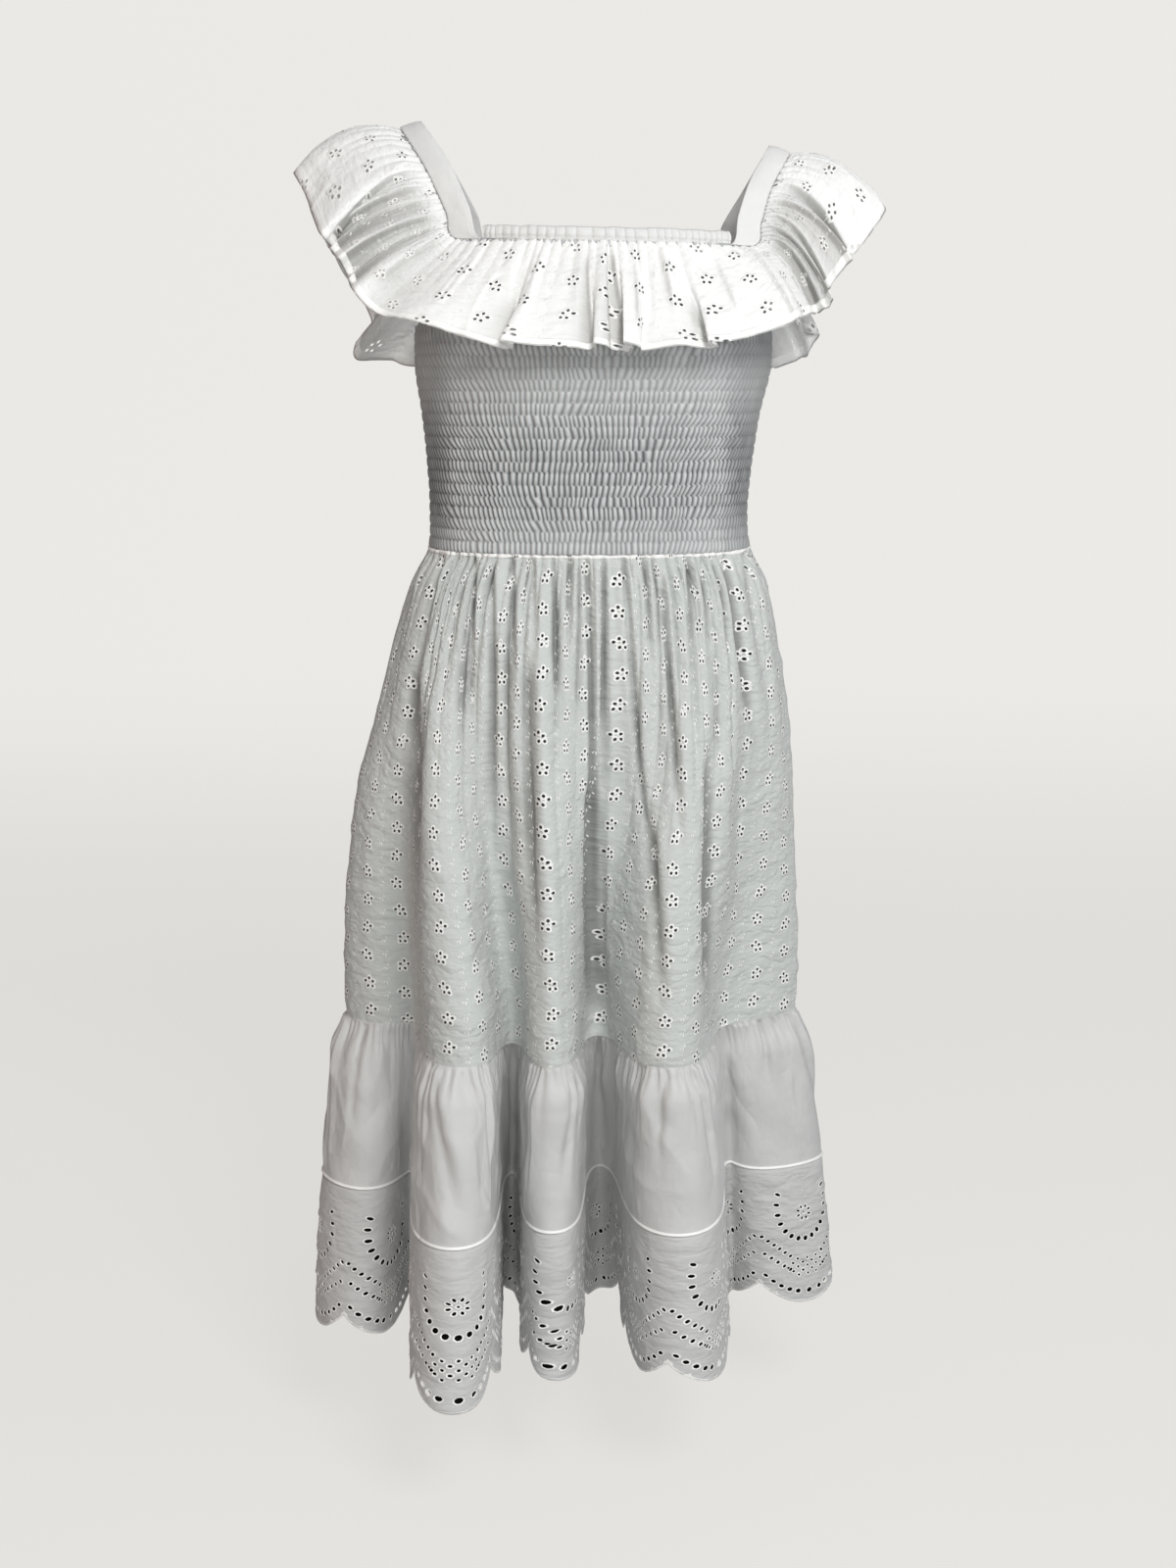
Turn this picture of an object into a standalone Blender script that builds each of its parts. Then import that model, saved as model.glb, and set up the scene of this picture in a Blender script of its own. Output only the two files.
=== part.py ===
"""A worn peasant dress: shirred bodice, eyelet ruffle, gathered skirt, flounce and cutwork border.

Metres, +Z up. The front faces -Y and +X is on the right as seen from the front. The origin lies
midway between the two shoulder straps at the height of the higher one, where the dress is held.
"""

import bpy
import bmesh
import numpy as np
from mathutils import Vector
from mathutils.geometry import delaunay_2d_cdt

# Heights of the seams and edges, below the shoulder
NECK_TOP = -0.0920
BAND_FOOT = -0.1030
NECK_TILT = 0.020
UNDERARM = -0.1750
WAIST = -0.3740
FLOUNCE_TOP = -0.8220
BORDER_TOP = -0.9810
HEM_TIP = -1.1310

# Cloth and sewing
WALL = 0.0015
SEAM_GAP = 0.0003
RUFFLE_EASE = 0.0014
SHIRR_PITCH = 0.0092
SHIRR_ROWS = 20
SHIRR_PUFF = 0.0013
BAND_SWELL = 0.0007
STRAP_CROWN = 0.0015
WAIST_GATHER = 0.0026
WAIST_GATHER_FADE = 0.110
FLOUNCE_GATHER = 0.0026
FLOUNCE_GATHER_FADE = 0.050
RUFFLE_WAVES = 34
RUFFLE_WAVE_SEAM = 0.0006
RUFFLE_WAVE_EDGE = 0.0085
RUFFLE_ARCH = 0.018
ARCH_STARTS = 0.10
ARCH_REACH = 0.06
RUFFLE_LIFT = WALL + RUFFLE_WAVE_SEAM + SEAM_GAP
FLOUNCE_PUFF = 0.009
FLOUNCE_PUFF_RISE = 0.035

# Cutwork border: one scallop is the repeat of its pattern
SCALLOPS = 29
SCALLOPS_FRONT = 18
SCALLOP_WIDTH = 0.0900
SCALLOP_DEPTH = 0.024
SCALLOP_ROUNDNESS = 2.2
BORDER_DEPTH = BORDER_TOP - HEM_TIP

# Where the neckbands meet the straps, in degrees from the front centre
FRONT_CORNERS = (-34.5, 48.1)
BACK_CORNERS = (136.2, 215.3)

# How finely each piece is divided
BODICE_COLUMNS = 13
BAND_COLUMNS = 9
STRAP_STEPS = 18
COLUMNS_PER_SPAN = 3
COLUMNS_PER_WAVE = 3
SCALLOP_STEPS = 5
RUFFLE_ROWS = 3
YOKE_ROWS = 3
INSIDE_ROWS = 8
HEM_SAMPLES = 7201
WAIST_SAMPLES = 3601
TURN_STEP = 0.02
ANGLE_STEP = 0.5
SKIRT_HEIGHTS = (WAIST - SEAM_GAP, -0.410, -0.490, -0.640, FLOUNCE_TOP)
FLOUNCE_HEIGHTS = (FLOUNCE_TOP - SEAM_GAP, -0.848, -0.900, BORDER_TOP)


def table(names, rows):
    """A table of numbers whose columns are read by name."""
    return np.array(rows, dtype=[(name, float) for name in names.split()])


# Half the garment's girth at each height: how far it reaches left, right, front and back
SECTIONS = table(
    "z left right front back",
    [
        (-0.090, 0.1440, 0.1560, 0.1030, 0.0960),
        (-0.150, 0.1540, 0.1640, 0.1160, 0.0990),
        (-0.207, 0.1580, 0.1670, 0.1240, 0.1020),
        (-0.260, 0.1510, 0.1560, 0.1130, 0.0980),
        (-0.310, 0.1470, 0.1490, 0.1040, 0.0960),
        (-0.345, 0.1460, 0.1470, 0.1020, 0.0960),
        (-0.374, 0.1480, 0.1500, 0.1040, 0.0990),
        (-0.405, 0.1640, 0.1660, 0.1150, 0.1120),
        (-0.445, 0.1760, 0.1740, 0.1260, 0.1240),
        (-0.520, 0.1900, 0.1850, 0.1400, 0.1400),
        (-0.600, 0.2060, 0.1890, 0.1520, 0.1500),
        (-0.700, 0.2230, 0.1920, 0.1620, 0.1570),
        (-0.830, 0.2400, 0.2050, 0.1700, 0.1600),
    ],
)
SQUARENESS = 0.8

# The large folds, in turn from the left side round the front, ridge and valley by turns. Angles are
# in degrees from the front centre; places are in plan, at the flounce seam and at the hem.
FOLDS = table(
    "waist face seam_x seam_y hem_x hem_y seam_half hem_half",
    [
        (-72, -48, -0.227, -0.045, -0.249, -0.074, 0.038, 0.062),
        (-54, -45, -0.163, -0.060, -0.174, -0.022, 0.008, 0.010),
        (-39, -10, -0.120, -0.192, -0.124, -0.241, 0.033, 0.040),
        (-24, 0, -0.070, -0.118, -0.078, 0.015, 0.010, 0.014),
        (-9, 0, -0.027, -0.192, -0.030, -0.180, 0.023, 0.024),
        (5, 0, 0.010, -0.095, 0.013, 0.032, 0.015, 0.020),
        (25, 5, 0.070, -0.194, 0.086, -0.190, 0.036, 0.046),
        (48, 45, 0.124, -0.075, 0.142, 0.022, 0.009, 0.012),
        (70, 28, 0.182, -0.038, 0.220, 0.000, 0.040, 0.056),
        (98, 95, 0.182, 0.034, 0.196, 0.074, 0.012, 0.012),
        (121, 125, 0.163, 0.105, 0.198, 0.150, 0.028, 0.032),
        (141, 145, 0.112, 0.108, 0.116, 0.104, 0.012, 0.012),
        (159, 162, 0.074, 0.165, 0.090, 0.215, 0.028, 0.032),
        (178, 180, 0.012, 0.126, 0.014, 0.122, 0.012, 0.012),
        (197, 196, -0.054, 0.168, -0.060, 0.218, 0.028, 0.032),
        (216, 214, -0.102, 0.112, -0.110, 0.106, 0.012, 0.012),
        (236, 236, -0.158, 0.116, -0.190, 0.156, 0.028, 0.032),
        (258, 258, -0.184, 0.046, -0.206, 0.054, 0.012, 0.012),
    ],
)
SIDE_ANGLE = -84.0
SIDE_SEAM_GAP = 0.0006
SIDE_CLEAR = 0.12
FOLD_WAIST_STEP = 4.0
FOLD_START = -0.40
FLARE = 0.75

# The yoke, from the front centre to the right and round: the neckline, the ruffle's seam and its edge
YOKE = table(
    "neck_x neck_y neck_z seam_x seam_y seam_z edge_x edge_y edge_z",
    [
        (0.016, -0.104, -0.092, 0.016, -0.1078, -0.1050, 0.016, -0.158, -0.192),
        (0.080, -0.096, -0.093, 0.082, -0.0990, -0.1060, 0.105, -0.146, -0.190),
        (0.124, -0.0755, -0.1055, 0.1465, -0.0600, -0.1059, 0.200, -0.100, -0.162),
        (0.132, -0.066, -0.080, 0.1545, -0.0530, -0.0860, 0.218, -0.084, -0.136),
        (0.143, -0.046, -0.049, 0.1640, -0.0430, -0.0570, 0.238, -0.058, -0.113),
        (0.163, 0.000, -0.016, 0.1840, 0.0000, -0.0230, 0.264, 0.000, -0.073),
        (0.145, 0.046, -0.049, 0.1660, 0.0460, -0.0570, 0.222, 0.078, -0.122),
        (0.126, 0.066, -0.082, 0.1500, 0.0560, -0.0870, 0.207, 0.112, -0.165),
        (0.118, 0.0740, -0.1053, 0.1420, 0.0600, -0.1058, 0.209, 0.122, -0.205),
        (0.060, 0.091, -0.094, 0.070, 0.0950, -0.1070, 0.085, 0.146, -0.212),
        (-0.050, 0.091, -0.091, -0.055, 0.0966, -0.1050, -0.075, 0.148, -0.212),
        (-0.0945, 0.0820, -0.1011, -0.1180, 0.0715, -0.1006, -0.218, 0.126, -0.206),
        (-0.104, 0.074, -0.072, -0.1270, 0.0680, -0.0780, -0.210, 0.112, -0.165),
        (-0.124, 0.050, -0.034, -0.1460, 0.0480, -0.0400, -0.237, 0.082, -0.118),
        (-0.150, 0.000, 0.005, -0.1710, 0.0000, -0.0010, -0.261, 0.000, -0.046),
        (-0.124, -0.052, -0.030, -0.1460, -0.0520, -0.0380, -0.237, -0.075, -0.088),
        (-0.104, -0.079, -0.072, -0.1265, -0.0735, -0.0770, -0.212, -0.102, -0.124),
        (-0.0925, -0.0895, -0.1011, -0.1160, -0.0800, -0.1007, -0.186, -0.126, -0.160),
        (-0.050, -0.102, -0.091, -0.052, -0.1044, -0.1040, -0.088, -0.152, -0.190),
    ],
)
FRONT_RIGHT, BACK_RIGHT, BACK_LEFT, FRONT_LEFT = 2, 8, 11, 17
RIGHT_SHOULDER, LEFT_SHOULDER = 5, 14
YOKE_OVERRUN = 6
YOKE_EASE = 1.0
RUFFLE_SPLIT = 0.006

# Cut holes of one scallop: place across the repeat and above the tip, length, width and turn
HOLES = table(
    "across up long wide turn",
    [
        (0.500, 0.0120, 0.0062, 0.0054, 0),
        (0.385, 0.0135, 0.0060, 0.0050, 20),
        (0.615, 0.0135, 0.0060, 0.0050, -20),
        (0.275, 0.0190, 0.0056, 0.0044, 40),
        (0.725, 0.0190, 0.0056, 0.0044, -40),
        (0.500, 0.0690, 0.0066, 0.0062, 0),
        (0.390, 0.0735, 0.0066, 0.0056, -20),
        (0.610, 0.0735, 0.0066, 0.0056, 20),
    ],
)
HOLE_SIDES = 5
HOLE_CORE = 0.0016
HOLE_CLEARANCE = 0.007
BORDER_LEVELS = (0.050, 0.100)


def clear_scene():
    for obj in list(bpy.data.objects):
        bpy.data.objects.remove(obj, do_unlink=True)


def cotton(name, colour, roughness):
    material = bpy.data.materials.new(name)
    material.use_nodes = True
    shader = material.node_tree.nodes["Principled BSDF"]
    shader.inputs["Base Color"].default_value = (*colour, 1.0)
    shader.inputs["Roughness"].default_value = roughness
    shader.inputs["Metallic"].default_value = 0.0
    return material


def columns(rows, names):
    """The named columns of a table, side by side."""
    return np.stack([rows[name] for name in names.split()], axis=-1)


def eased(knots, rows, at):
    """Values of the rows at the places given, on a smooth curve through every row."""
    at = np.clip(at, knots[0], knots[-1])
    slopes = np.gradient(rows, knots, axis=0)
    before = np.clip(np.searchsorted(knots, at) - 1, 0, len(knots) - 2)
    width = knots[before + 1] - knots[before]
    part = ((at - knots[before]) / width)[..., None]
    width = width[..., None]
    rise = part * part * (3 - 2 * part)
    leave = part * (1 - part) ** 2 * width
    arrive = -part * part * (1 - part) * width
    start, end = rows[before], rows[before + 1]
    return start + (end - start) * rise + slopes[before] * leave + slopes[before + 1] * arrive


def body_ring(angle, z):
    """A point of the rounded-square section at height z, at an angle in degrees from the front."""
    reach = columns(SECTIONS[::-1], "left right front back")
    left, right, front, back = np.moveaxis(eased(SECTIONS["z"][::-1], reach, z), -1, 0)
    sine, cosine = np.sin(np.radians(angle)), np.cos(np.radians(angle))
    across = np.sign(sine) * np.abs(sine) ** SQUARENESS
    ahead = np.sign(cosine) * np.abs(cosine) ** SQUARENESS
    x = across * np.where(sine > 0, right, left)
    y = -ahead * np.where(cosine > 0, front, back)
    return np.stack([x, y, np.broadcast_to(z, x.shape)], axis=-1)


def fold_controls():
    """Two points for each row of FOLDS, one on each side of it, at the seam and at the hem."""
    face = np.radians(FOLDS["face"])
    along = np.stack([np.cos(face), np.sin(face)], axis=-1)
    pairs = []
    for side in (-1, 1):
        at_waist = FOLDS["waist"] + side * FOLD_WAIST_STEP
        at_seam = columns(FOLDS, "seam_x seam_y") + side * FOLDS["seam_half"][:, None] * along
        at_hem = columns(FOLDS, "hem_x hem_y") + side * FOLDS["hem_half"][:, None] * along
        pairs.append(np.column_stack([at_waist, at_seam, at_hem]))
    return np.stack(pairs, axis=1).reshape(-1, 5)


CONTROLS = fold_controls()
SPANS = len(CONTROLS)
STEADY = np.column_stack([CONTROLS[:, 0] - 360.0 * np.arange(SPANS) / SPANS, CONTROLS[:, 1:]])


def fold_curve(turn):
    """Waist angle, seam place and hem place at a turn from 0 to SPANS, on a closed cubic B-spline."""
    first = np.floor(turn).astype(int)
    part = (turn - first)[..., None]
    weights = (
        (1 - part) ** 3 / 6,
        (3 * part**3 - 6 * part**2 + 4) / 6,
        (-3 * part**3 + 3 * part**2 + 3 * part + 1) / 6,
        part**3 / 6,
    )
    blend = sum(w * STEADY[(first + k - 1) % SPANS] for k, w in enumerate(weights))
    angle = blend[..., 0] + 360.0 * turn / SPANS
    return angle, blend[..., 1:3], blend[..., 3:5]


def smooth_step(value):
    value = np.clip(value, 0.0, 1.0)
    return value * value * (3 - 2 * value)


def skirt_point(turn, z):
    """The skirt's middle surface: body sections that turn into the folds of the seam curve."""
    angle, seam, _ = fold_curve(turn)
    ring = body_ring(angle, z)
    share = smooth_step((FOLD_START - z) / (FOLD_START - FLOUNCE_TOP))[..., None]
    ring[..., :2] = ring[..., :2] * (1 - share) + seam * share
    return ring


def flounce_point(turn, z):
    """The flounce and border's middle surface: from the seam curve out to the hem curve."""
    _, seam, hem = fold_curve(turn)
    share = (np.clip((FLOUNCE_TOP - z) / (FLOUNCE_TOP - HEM_TIP), 0.0, 1.0) ** FLARE)[..., None]
    plan = seam * (1 - share) + hem * share
    return np.concatenate([plan, np.broadcast_to(z, plan.shape[:-1])[..., None]], axis=-1)


def puffed_flounce_point(turn, z):
    """The same surface with its ridges swelled out just under the gathered top, as full cloth does."""
    on_ridge = (1 + np.cos(2 * np.pi * (turn - 0.5) / 4)) / 2
    puff = FLOUNCE_PUFF * smooth_step((FLOUNCE_TOP - z) / FLOUNCE_PUFF_RISE) * on_ridge
    return flounce_point(turn, z) + plan_normal(flounce_point, turn, z) * puff[..., None]


def plan_normal(surface, turn, z):
    """The outward direction in plan, square to the surface's ring at that height."""
    along = surface(turn + TURN_STEP, z) - surface(turn - TURN_STEP, z)
    normal = np.stack([along[..., 1], -along[..., 0], np.zeros_like(along[..., 0])], axis=-1)
    return normal / np.linalg.norm(normal, axis=-1, keepdims=True)


def hem_turns():
    """Turns along the hem and the share of the hem's length up to each, from the left side seam."""
    turns = np.linspace(0, SPANS, HEM_SAMPLES)
    angle = fold_curve(turns)[0]
    start = np.interp(SIDE_ANGLE + 360.0, angle, turns) - SPANS
    turns = turns + start
    hem = fold_curve(turns)[2]
    length = np.concatenate([[0], np.cumsum(np.linalg.norm(np.diff(hem, axis=0), axis=1))])
    return turns, length / length[-1], length[-1]


TURNS, SHARES, HEM_LENGTH = hem_turns()


def turn_at(share):
    return np.interp(share, SHARES, TURNS)


def new_object(name, vertices, faces, material, collection):
    mesh = bpy.data.meshes.new(name)
    mesh.from_pydata([tuple(v) for v in vertices], [], faces)
    shape = bmesh.new()
    shape.from_mesh(mesh)
    bmesh.ops.recalc_face_normals(shape, faces=shape.faces)
    shape.to_mesh(mesh)
    shape.free()
    mesh.materials.append(material)
    mesh.shade_smooth()
    mesh.set_sharp_from_angle(angle=np.radians(50))
    obj = bpy.data.objects.new(name, mesh)
    collection.objects.link(obj)
    return obj


def wall_faces(outer_rows, inner_rows, columns):
    """Faces of a wall between two grids that share their columns: both sides, rims and end caps."""
    base = outer_rows * columns

    def outer(row, column):
        return row * columns + column

    def inner(row, column):
        return base + row * columns + column

    faces = []
    for place, rows in ((outer, outer_rows), (inner, inner_rows)):
        for r in range(rows - 1):
            for c in range(columns - 1):
                faces.append((place(r, c), place(r + 1, c), place(r + 1, c + 1), place(r, c + 1)))
    for outer_row, inner_row in ((0, 0), (outer_rows - 1, inner_rows - 1)):
        for c in range(columns - 1):
            ends = (outer(outer_row, c), outer(outer_row, c + 1))
            faces.append((*ends, inner(inner_row, c + 1), inner(inner_row, c)))
    for c in (0, columns - 1):
        if outer_rows == inner_rows:
            for r in range(outer_rows - 1):
                faces.append((outer(r, c), outer(r + 1, c), inner(r + 1, c), inner(r, c)))
        else:
            down = [outer(r, c) for r in range(outer_rows)]
            faces.append((*down, *[inner(r, c) for r in reversed(range(inner_rows))]))
    return faces


def wall_object(name, outer, inner, material, collection):
    vertices = np.concatenate([outer.reshape(-1, 3), inner.reshape(-1, 3)])
    faces = wall_faces(len(outer), len(inner), outer.shape[1])
    return new_object(name, vertices, faces, material, collection)


def body_angles():
    """Angles from the left side seam round to it again, and the share of the waist up to each."""
    angles = np.linspace(-90.0, 270.0, WAIST_SAMPLES)
    ring = body_ring(angles, np.full_like(angles, WAIST))
    length = np.concatenate([[0], np.cumsum(np.linalg.norm(np.diff(ring, axis=0), axis=1))])
    return angles, length / length[-1], length[-1]


def body_normal(angle, z):
    along = body_ring(angle + ANGLE_STEP, z) - body_ring(angle - ANGLE_STEP, z)
    normal = np.stack([along[..., 1], -along[..., 0], np.zeros_like(along[..., 0])], axis=-1)
    return normal / np.linalg.norm(normal, axis=-1, keepdims=True)


def bodice_top(angle):
    """Height of the bodice's upper edge: level under the neckbands, scooped under the arms."""
    ring = body_ring(angle, np.full_like(angle, BAND_FOOT))
    in_front, on_left = ring[..., 1] < 0, ring[..., 0] < 0
    seam_x, neck = YOKE["seam_x"], SECTIONS[0]
    left = np.where(in_front, seam_x[FRONT_LEFT], seam_x[BACK_LEFT])
    right = np.where(in_front, seam_x[FRONT_RIGHT], seam_x[BACK_RIGHT])
    reach = np.where(on_left, ring[..., 0] / left, ring[..., 0] / right)
    full = np.where(on_left, -neck["left"] / left, neck["right"] / right)
    drop = smooth_step((reach - 1.0) / (full - 1.0))
    level = BAND_FOOT - SEAM_GAP - NECK_TILT * ring[..., 0]
    return level + drop * (UNDERARM - level)


def bodice_half(name, first, last, material, collection):
    """One side of the bodice: a puff between each two rows of shirring, over a plain inside."""
    angles, shares, waist_length = body_angles()
    side = SEAM_GAP / 2 / waist_length
    even = np.linspace(0, 1, BODICE_COLUMNS + 1)
    closer_at_sides = 0.5 * even + 0.5 * (1 - np.cos(np.pi * even)) / 2
    share = first + side + (last - first - 2 * side) * closer_at_sides
    angle = np.interp(share, shares, angles)
    top = bodice_top(angle)
    steps = np.arange(2 * SHIRR_ROWS + 1)
    heights = WAIST + steps * SHIRR_PITCH / 2
    shirred = np.broadcast_to(heights[::-1, None], (len(steps), len(angle)))
    puffs = np.where(steps % 2 == 1, SHIRR_PUFF, 0.0)[::-1, None]
    above = np.linspace(0.0, 1.0, YOKE_ROWS + 1)[:-1, None]
    plain = top + (heights[-1] - top) * above
    z = np.concatenate([plain, shirred])
    puff = np.concatenate([np.zeros((len(plain), 1)), puffs]) * np.ones_like(angle)
    spread = np.broadcast_to(angle, z.shape)
    normal = body_normal(spread, z)
    outer = body_ring(spread, z) + normal * (WALL / 2 + puff)[..., None]
    shirred_rows = np.arange(YOKE_ROWS, len(z) - 1, INSIDE_ROWS)
    levels = [*range(YOKE_ROWS), *shirred_rows, len(z) - 1]
    inner = (body_ring(spread, z) - normal * WALL / 2)[levels]
    wall_object(name, outer, inner, material, collection)


def neckband(name, first, last, material, collection):
    """The gathered elastic casing along one side of the neckline, from strap to strap."""
    angle = np.linspace(first, last, BAND_COLUMNS + 1)
    level = np.array([NECK_TOP, (NECK_TOP + BAND_FOOT) / 2, BAND_FOOT])[:, None] * np.ones_like(angle)
    spread = np.broadcast_to(angle, level.shape)
    z = level - NECK_TILT * body_ring(spread, level)[..., 0]
    bulge = np.array([0.0, BAND_SWELL, 0.0])[:, None] * np.ones_like(angle)
    normal = body_normal(spread, z)
    outer = body_ring(spread, z) + normal * (WALL / 2 + bulge)[..., None]
    inner = body_ring(spread, z) - normal * (WALL / 2 + bulge)[..., None]
    wall_object(name, outer, inner, material, collection)


def surface_normals(grid):
    """Unit normals of a grid of points (rows, columns, xyz), pointing away from the wearer."""
    down = np.gradient(grid, axis=0)
    along = np.gradient(grid, axis=1)
    normal = np.cross(down, along)
    return normal / np.linalg.norm(normal, axis=-1, keepdims=True)


def off_bodice(points, lift):
    """The points moved in plan to stand off the bodice's middle surface by the lift."""
    x, y, z = np.moveaxis(points, -1, 0)
    left, right, front, back = np.moveaxis(
        eased(SECTIONS["z"][::-1], columns(SECTIONS[::-1], "left right front back"), z), -1, 0)
    across = np.abs(x) / np.where(x > 0, right, left)
    ahead = np.abs(y) / np.where(y < 0, front, back)
    sine, cosine = across ** (1 / SQUARENESS), ahead ** (1 / SQUARENESS)
    angle = np.degrees(np.arctan2(np.sign(x) * sine, -np.sign(y) * cosine))
    return body_ring(angle, z) + body_normal(angle, z) * lift


def yoke_loop(at):
    """Neckline, ruffle seam and ruffle edge at places from 0 to the number of rows, on closed curves."""
    count = len(YOKE)
    reach = np.arange(-YOKE_OVERRUN, count + YOKE_OVERRUN + 1)
    rows = columns(YOKE, " ".join(YOKE.dtype.names))
    line = eased(reach.astype(float), rows[reach % count], at)
    neck, seam, edge = line[:, 0:3], line[:, 3:6], line[:, 6:9]
    place = at % count
    from_straps = np.where((place > FRONT_LEFT) | (place < FRONT_RIGHT),
                           np.minimum((place - FRONT_LEFT) % count, (FRONT_RIGHT - place) % count),
                           np.minimum(place - BACK_RIGHT, BACK_LEFT - place))
    on_bodice = smooth_step(1 + from_straps / YOKE_EASE)[:, None]
    seam = seam * (1 - on_bodice) + off_bodice(seam, RUFFLE_LIFT) * on_bodice
    return neck, seam, edge


def strap(name, first, last, material, collection):
    """A band over one shoulder between the neckline and the ruffle's seam, on smooth curves."""
    neck, seam, _ = yoke_loop(np.linspace(first, last, STRAP_STEPS + 1))
    share = np.array([0.0, 0.5, 1.0])[:, None, None]
    width = np.linalg.norm(seam - neck, axis=-1, keepdims=True)
    inset = (WALL / 2 + SEAM_GAP + RUFFLE_WAVE_SEAM + RUFFLE_EASE) / width
    grid = neck + (seam - neck) * share * (1 - inset)
    grid[..., 2] += STRAP_CROWN * (share * (1 - share) * 4)[..., 0]
    normal = surface_normals(grid)
    wall_object(name, grid + normal * WALL / 2, grid - normal * WALL / 2, material, collection)


def ruffle_grid(at, down):
    """The ruffle's middle surface: from its seam out to its edge, arched, in rounded waves."""
    _, seam, edge = yoke_loop(at)
    down = down[:, None, None]
    grid = seam + (edge - seam) * down
    over_shoulder = smooth_step((np.abs(seam[:, 0]) - ARCH_STARTS) / ARCH_REACH)[:, None]
    grid = grid + np.array([0.0, 0.0, 1.0]) * RUFFLE_ARCH * 4 * down * (1 - down) * over_shoulder
    normal = surface_normals(grid)
    turn = 2 * np.pi * RUFFLE_WAVES * at / len(YOKE)
    wave = np.cos(turn)[:, None] * (RUFFLE_WAVE_SEAM + (RUFFLE_WAVE_EDGE - RUFFLE_WAVE_SEAM) * down)
    grid = grid + normal * wave
    return grid, surface_normals(grid)


def ruffle_half(name, first, last, material, collection):
    steps = int(round(RUFFLE_WAVES * (last - first) / len(YOKE))) * COLUMNS_PER_WAVE
    at = np.linspace(first + RUFFLE_SPLIT, last - RUFFLE_SPLIT, steps + 1)
    grid, normal = ruffle_grid(at, np.linspace(0.0, 1.0, RUFFLE_ROWS + 1))
    wall_object(name, grid + normal * WALL / 2, grid - normal * WALL / 2, material, collection)


def tier_half(name, surface, heights, gather, fade, side, material, collection):
    """Half of a skirt tier: its wall follows the large folds, with gathers fading from the top."""
    gap = SIDE_SEAM_GAP / 2 / HEM_LENGTH
    near = turn_at(np.array([side[0] + gap, side[1] - gap]))
    turns = np.arange(np.ceil(near[0] * COLUMNS_PER_SPAN), near[1] * COLUMNS_PER_SPAN) / COLUMNS_PER_SPAN
    in_out = np.where(np.round(turns * COLUMNS_PER_SPAN) % 2 == 0, 1.0, -1.0)
    keep = (turns > near[0] + SIDE_CLEAR) & (turns < near[1] - SIDE_CLEAR)
    turns = np.concatenate([near[:1], turns[keep], near[1:]])
    in_out = np.concatenate([[0.0], in_out[keep], [0.0]])
    z = np.asarray(heights)[:, None] * np.ones_like(turns)
    spread = np.broadcast_to(turns, z.shape)
    depth = gather * np.clip(1 - (z[0, 0] - z) / fade, 0.0, 1.0)
    normal = plan_normal(surface, spread, z)
    middle = surface(spread, z) + normal * (depth * in_out)[..., None]
    wall_object(name, middle + normal * WALL / 2, middle - normal * WALL / 2, material, collection)


def hole_outline(hole):
    angle = np.linspace(0, 2 * np.pi, HOLE_SIDES, endpoint=False) + np.pi / 2
    x, y = np.cos(angle) * hole["wide"] / 2, np.sin(angle) * hole["long"] / 2
    lean = np.radians(hole["turn"])
    outline = np.column_stack([x * np.cos(lean) - y * np.sin(lean), x * np.sin(lean) + y * np.cos(lean)])
    return outline + (hole["across"] * SCALLOP_WIDTH, hole["up"])


def scallop_edge(across):
    """Height of the scalloped hem above its tips, at a share of the repeat from 0 to 1."""
    return SCALLOP_DEPTH * np.abs(2 * across - 1) ** SCALLOP_ROUNDNESS


def scallop_tile():
    """One repeat of the border laid flat: its points and triangles, with the holes left out."""
    across = np.linspace(0, 1, SCALLOP_STEPS + 1)
    levels = np.array(BORDER_LEVELS)
    edge = np.column_stack([across * SCALLOP_WIDTH, scallop_edge(across)])
    top = np.column_stack([across * SCALLOP_WIDTH, np.full_like(across, BORDER_DEPTH)])
    left = np.column_stack([np.zeros_like(levels), levels])
    right = left + (SCALLOP_WIDTH, 0)
    outline = np.concatenate([edge, right, top[::-1], left[::-1]])
    inside = np.array([(x * SCALLOP_WIDTH, y) for x in across[1:-1] for y in levels])
    holes = [hole_outline(hole) for hole in HOLES]
    centres = columns(HOLES, "across up") * (SCALLOP_WIDTH, 1)
    apart = np.linalg.norm(inside[:, None] - centres[None], axis=-1).min(axis=1)
    inside = inside[apart > HOLE_CLEARANCE]
    points = np.concatenate([outline, *holes, inside])
    edges = [(i, (i + 1) % len(outline)) for i in range(len(outline))]
    start = len(outline)
    for hole in holes:
        edges += [(start + i, start + (i + 1) % len(hole)) for i in range(len(hole))]
        start += len(hole)
    found = delaunay_2d_cdt([Vector(p) for p in points], edges, [], 0, 1e-7)
    flat = np.array([tuple(p) for p in found[0]])
    triangles = np.array(found[2])
    middle = flat[triangles].mean(axis=1)
    in_cloth = middle[:, 1] > scallop_edge(middle[:, 0] / SCALLOP_WIDTH)
    in_hole = (np.linalg.norm(middle[:, None] - centres[None], axis=-1) < HOLE_CORE).any(axis=1)
    return flat, triangles[in_cloth & ~in_hole]


def joined_tiles(count):
    """Repeats side by side, sharing the points where they meet. Across runs on by 1 a repeat."""
    flat, triangles = scallop_tile()
    flat = flat / (SCALLOP_WIDTH, 1)
    points = np.concatenate([flat + (i, 0) for i in range(count)])
    faces = np.concatenate([triangles + i * len(flat) for i in range(count)])
    _, first, same = np.unique(np.round(points, 6), axis=0, return_index=True, return_inverse=True)
    return points[first], same.reshape(-1)[faces]


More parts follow.
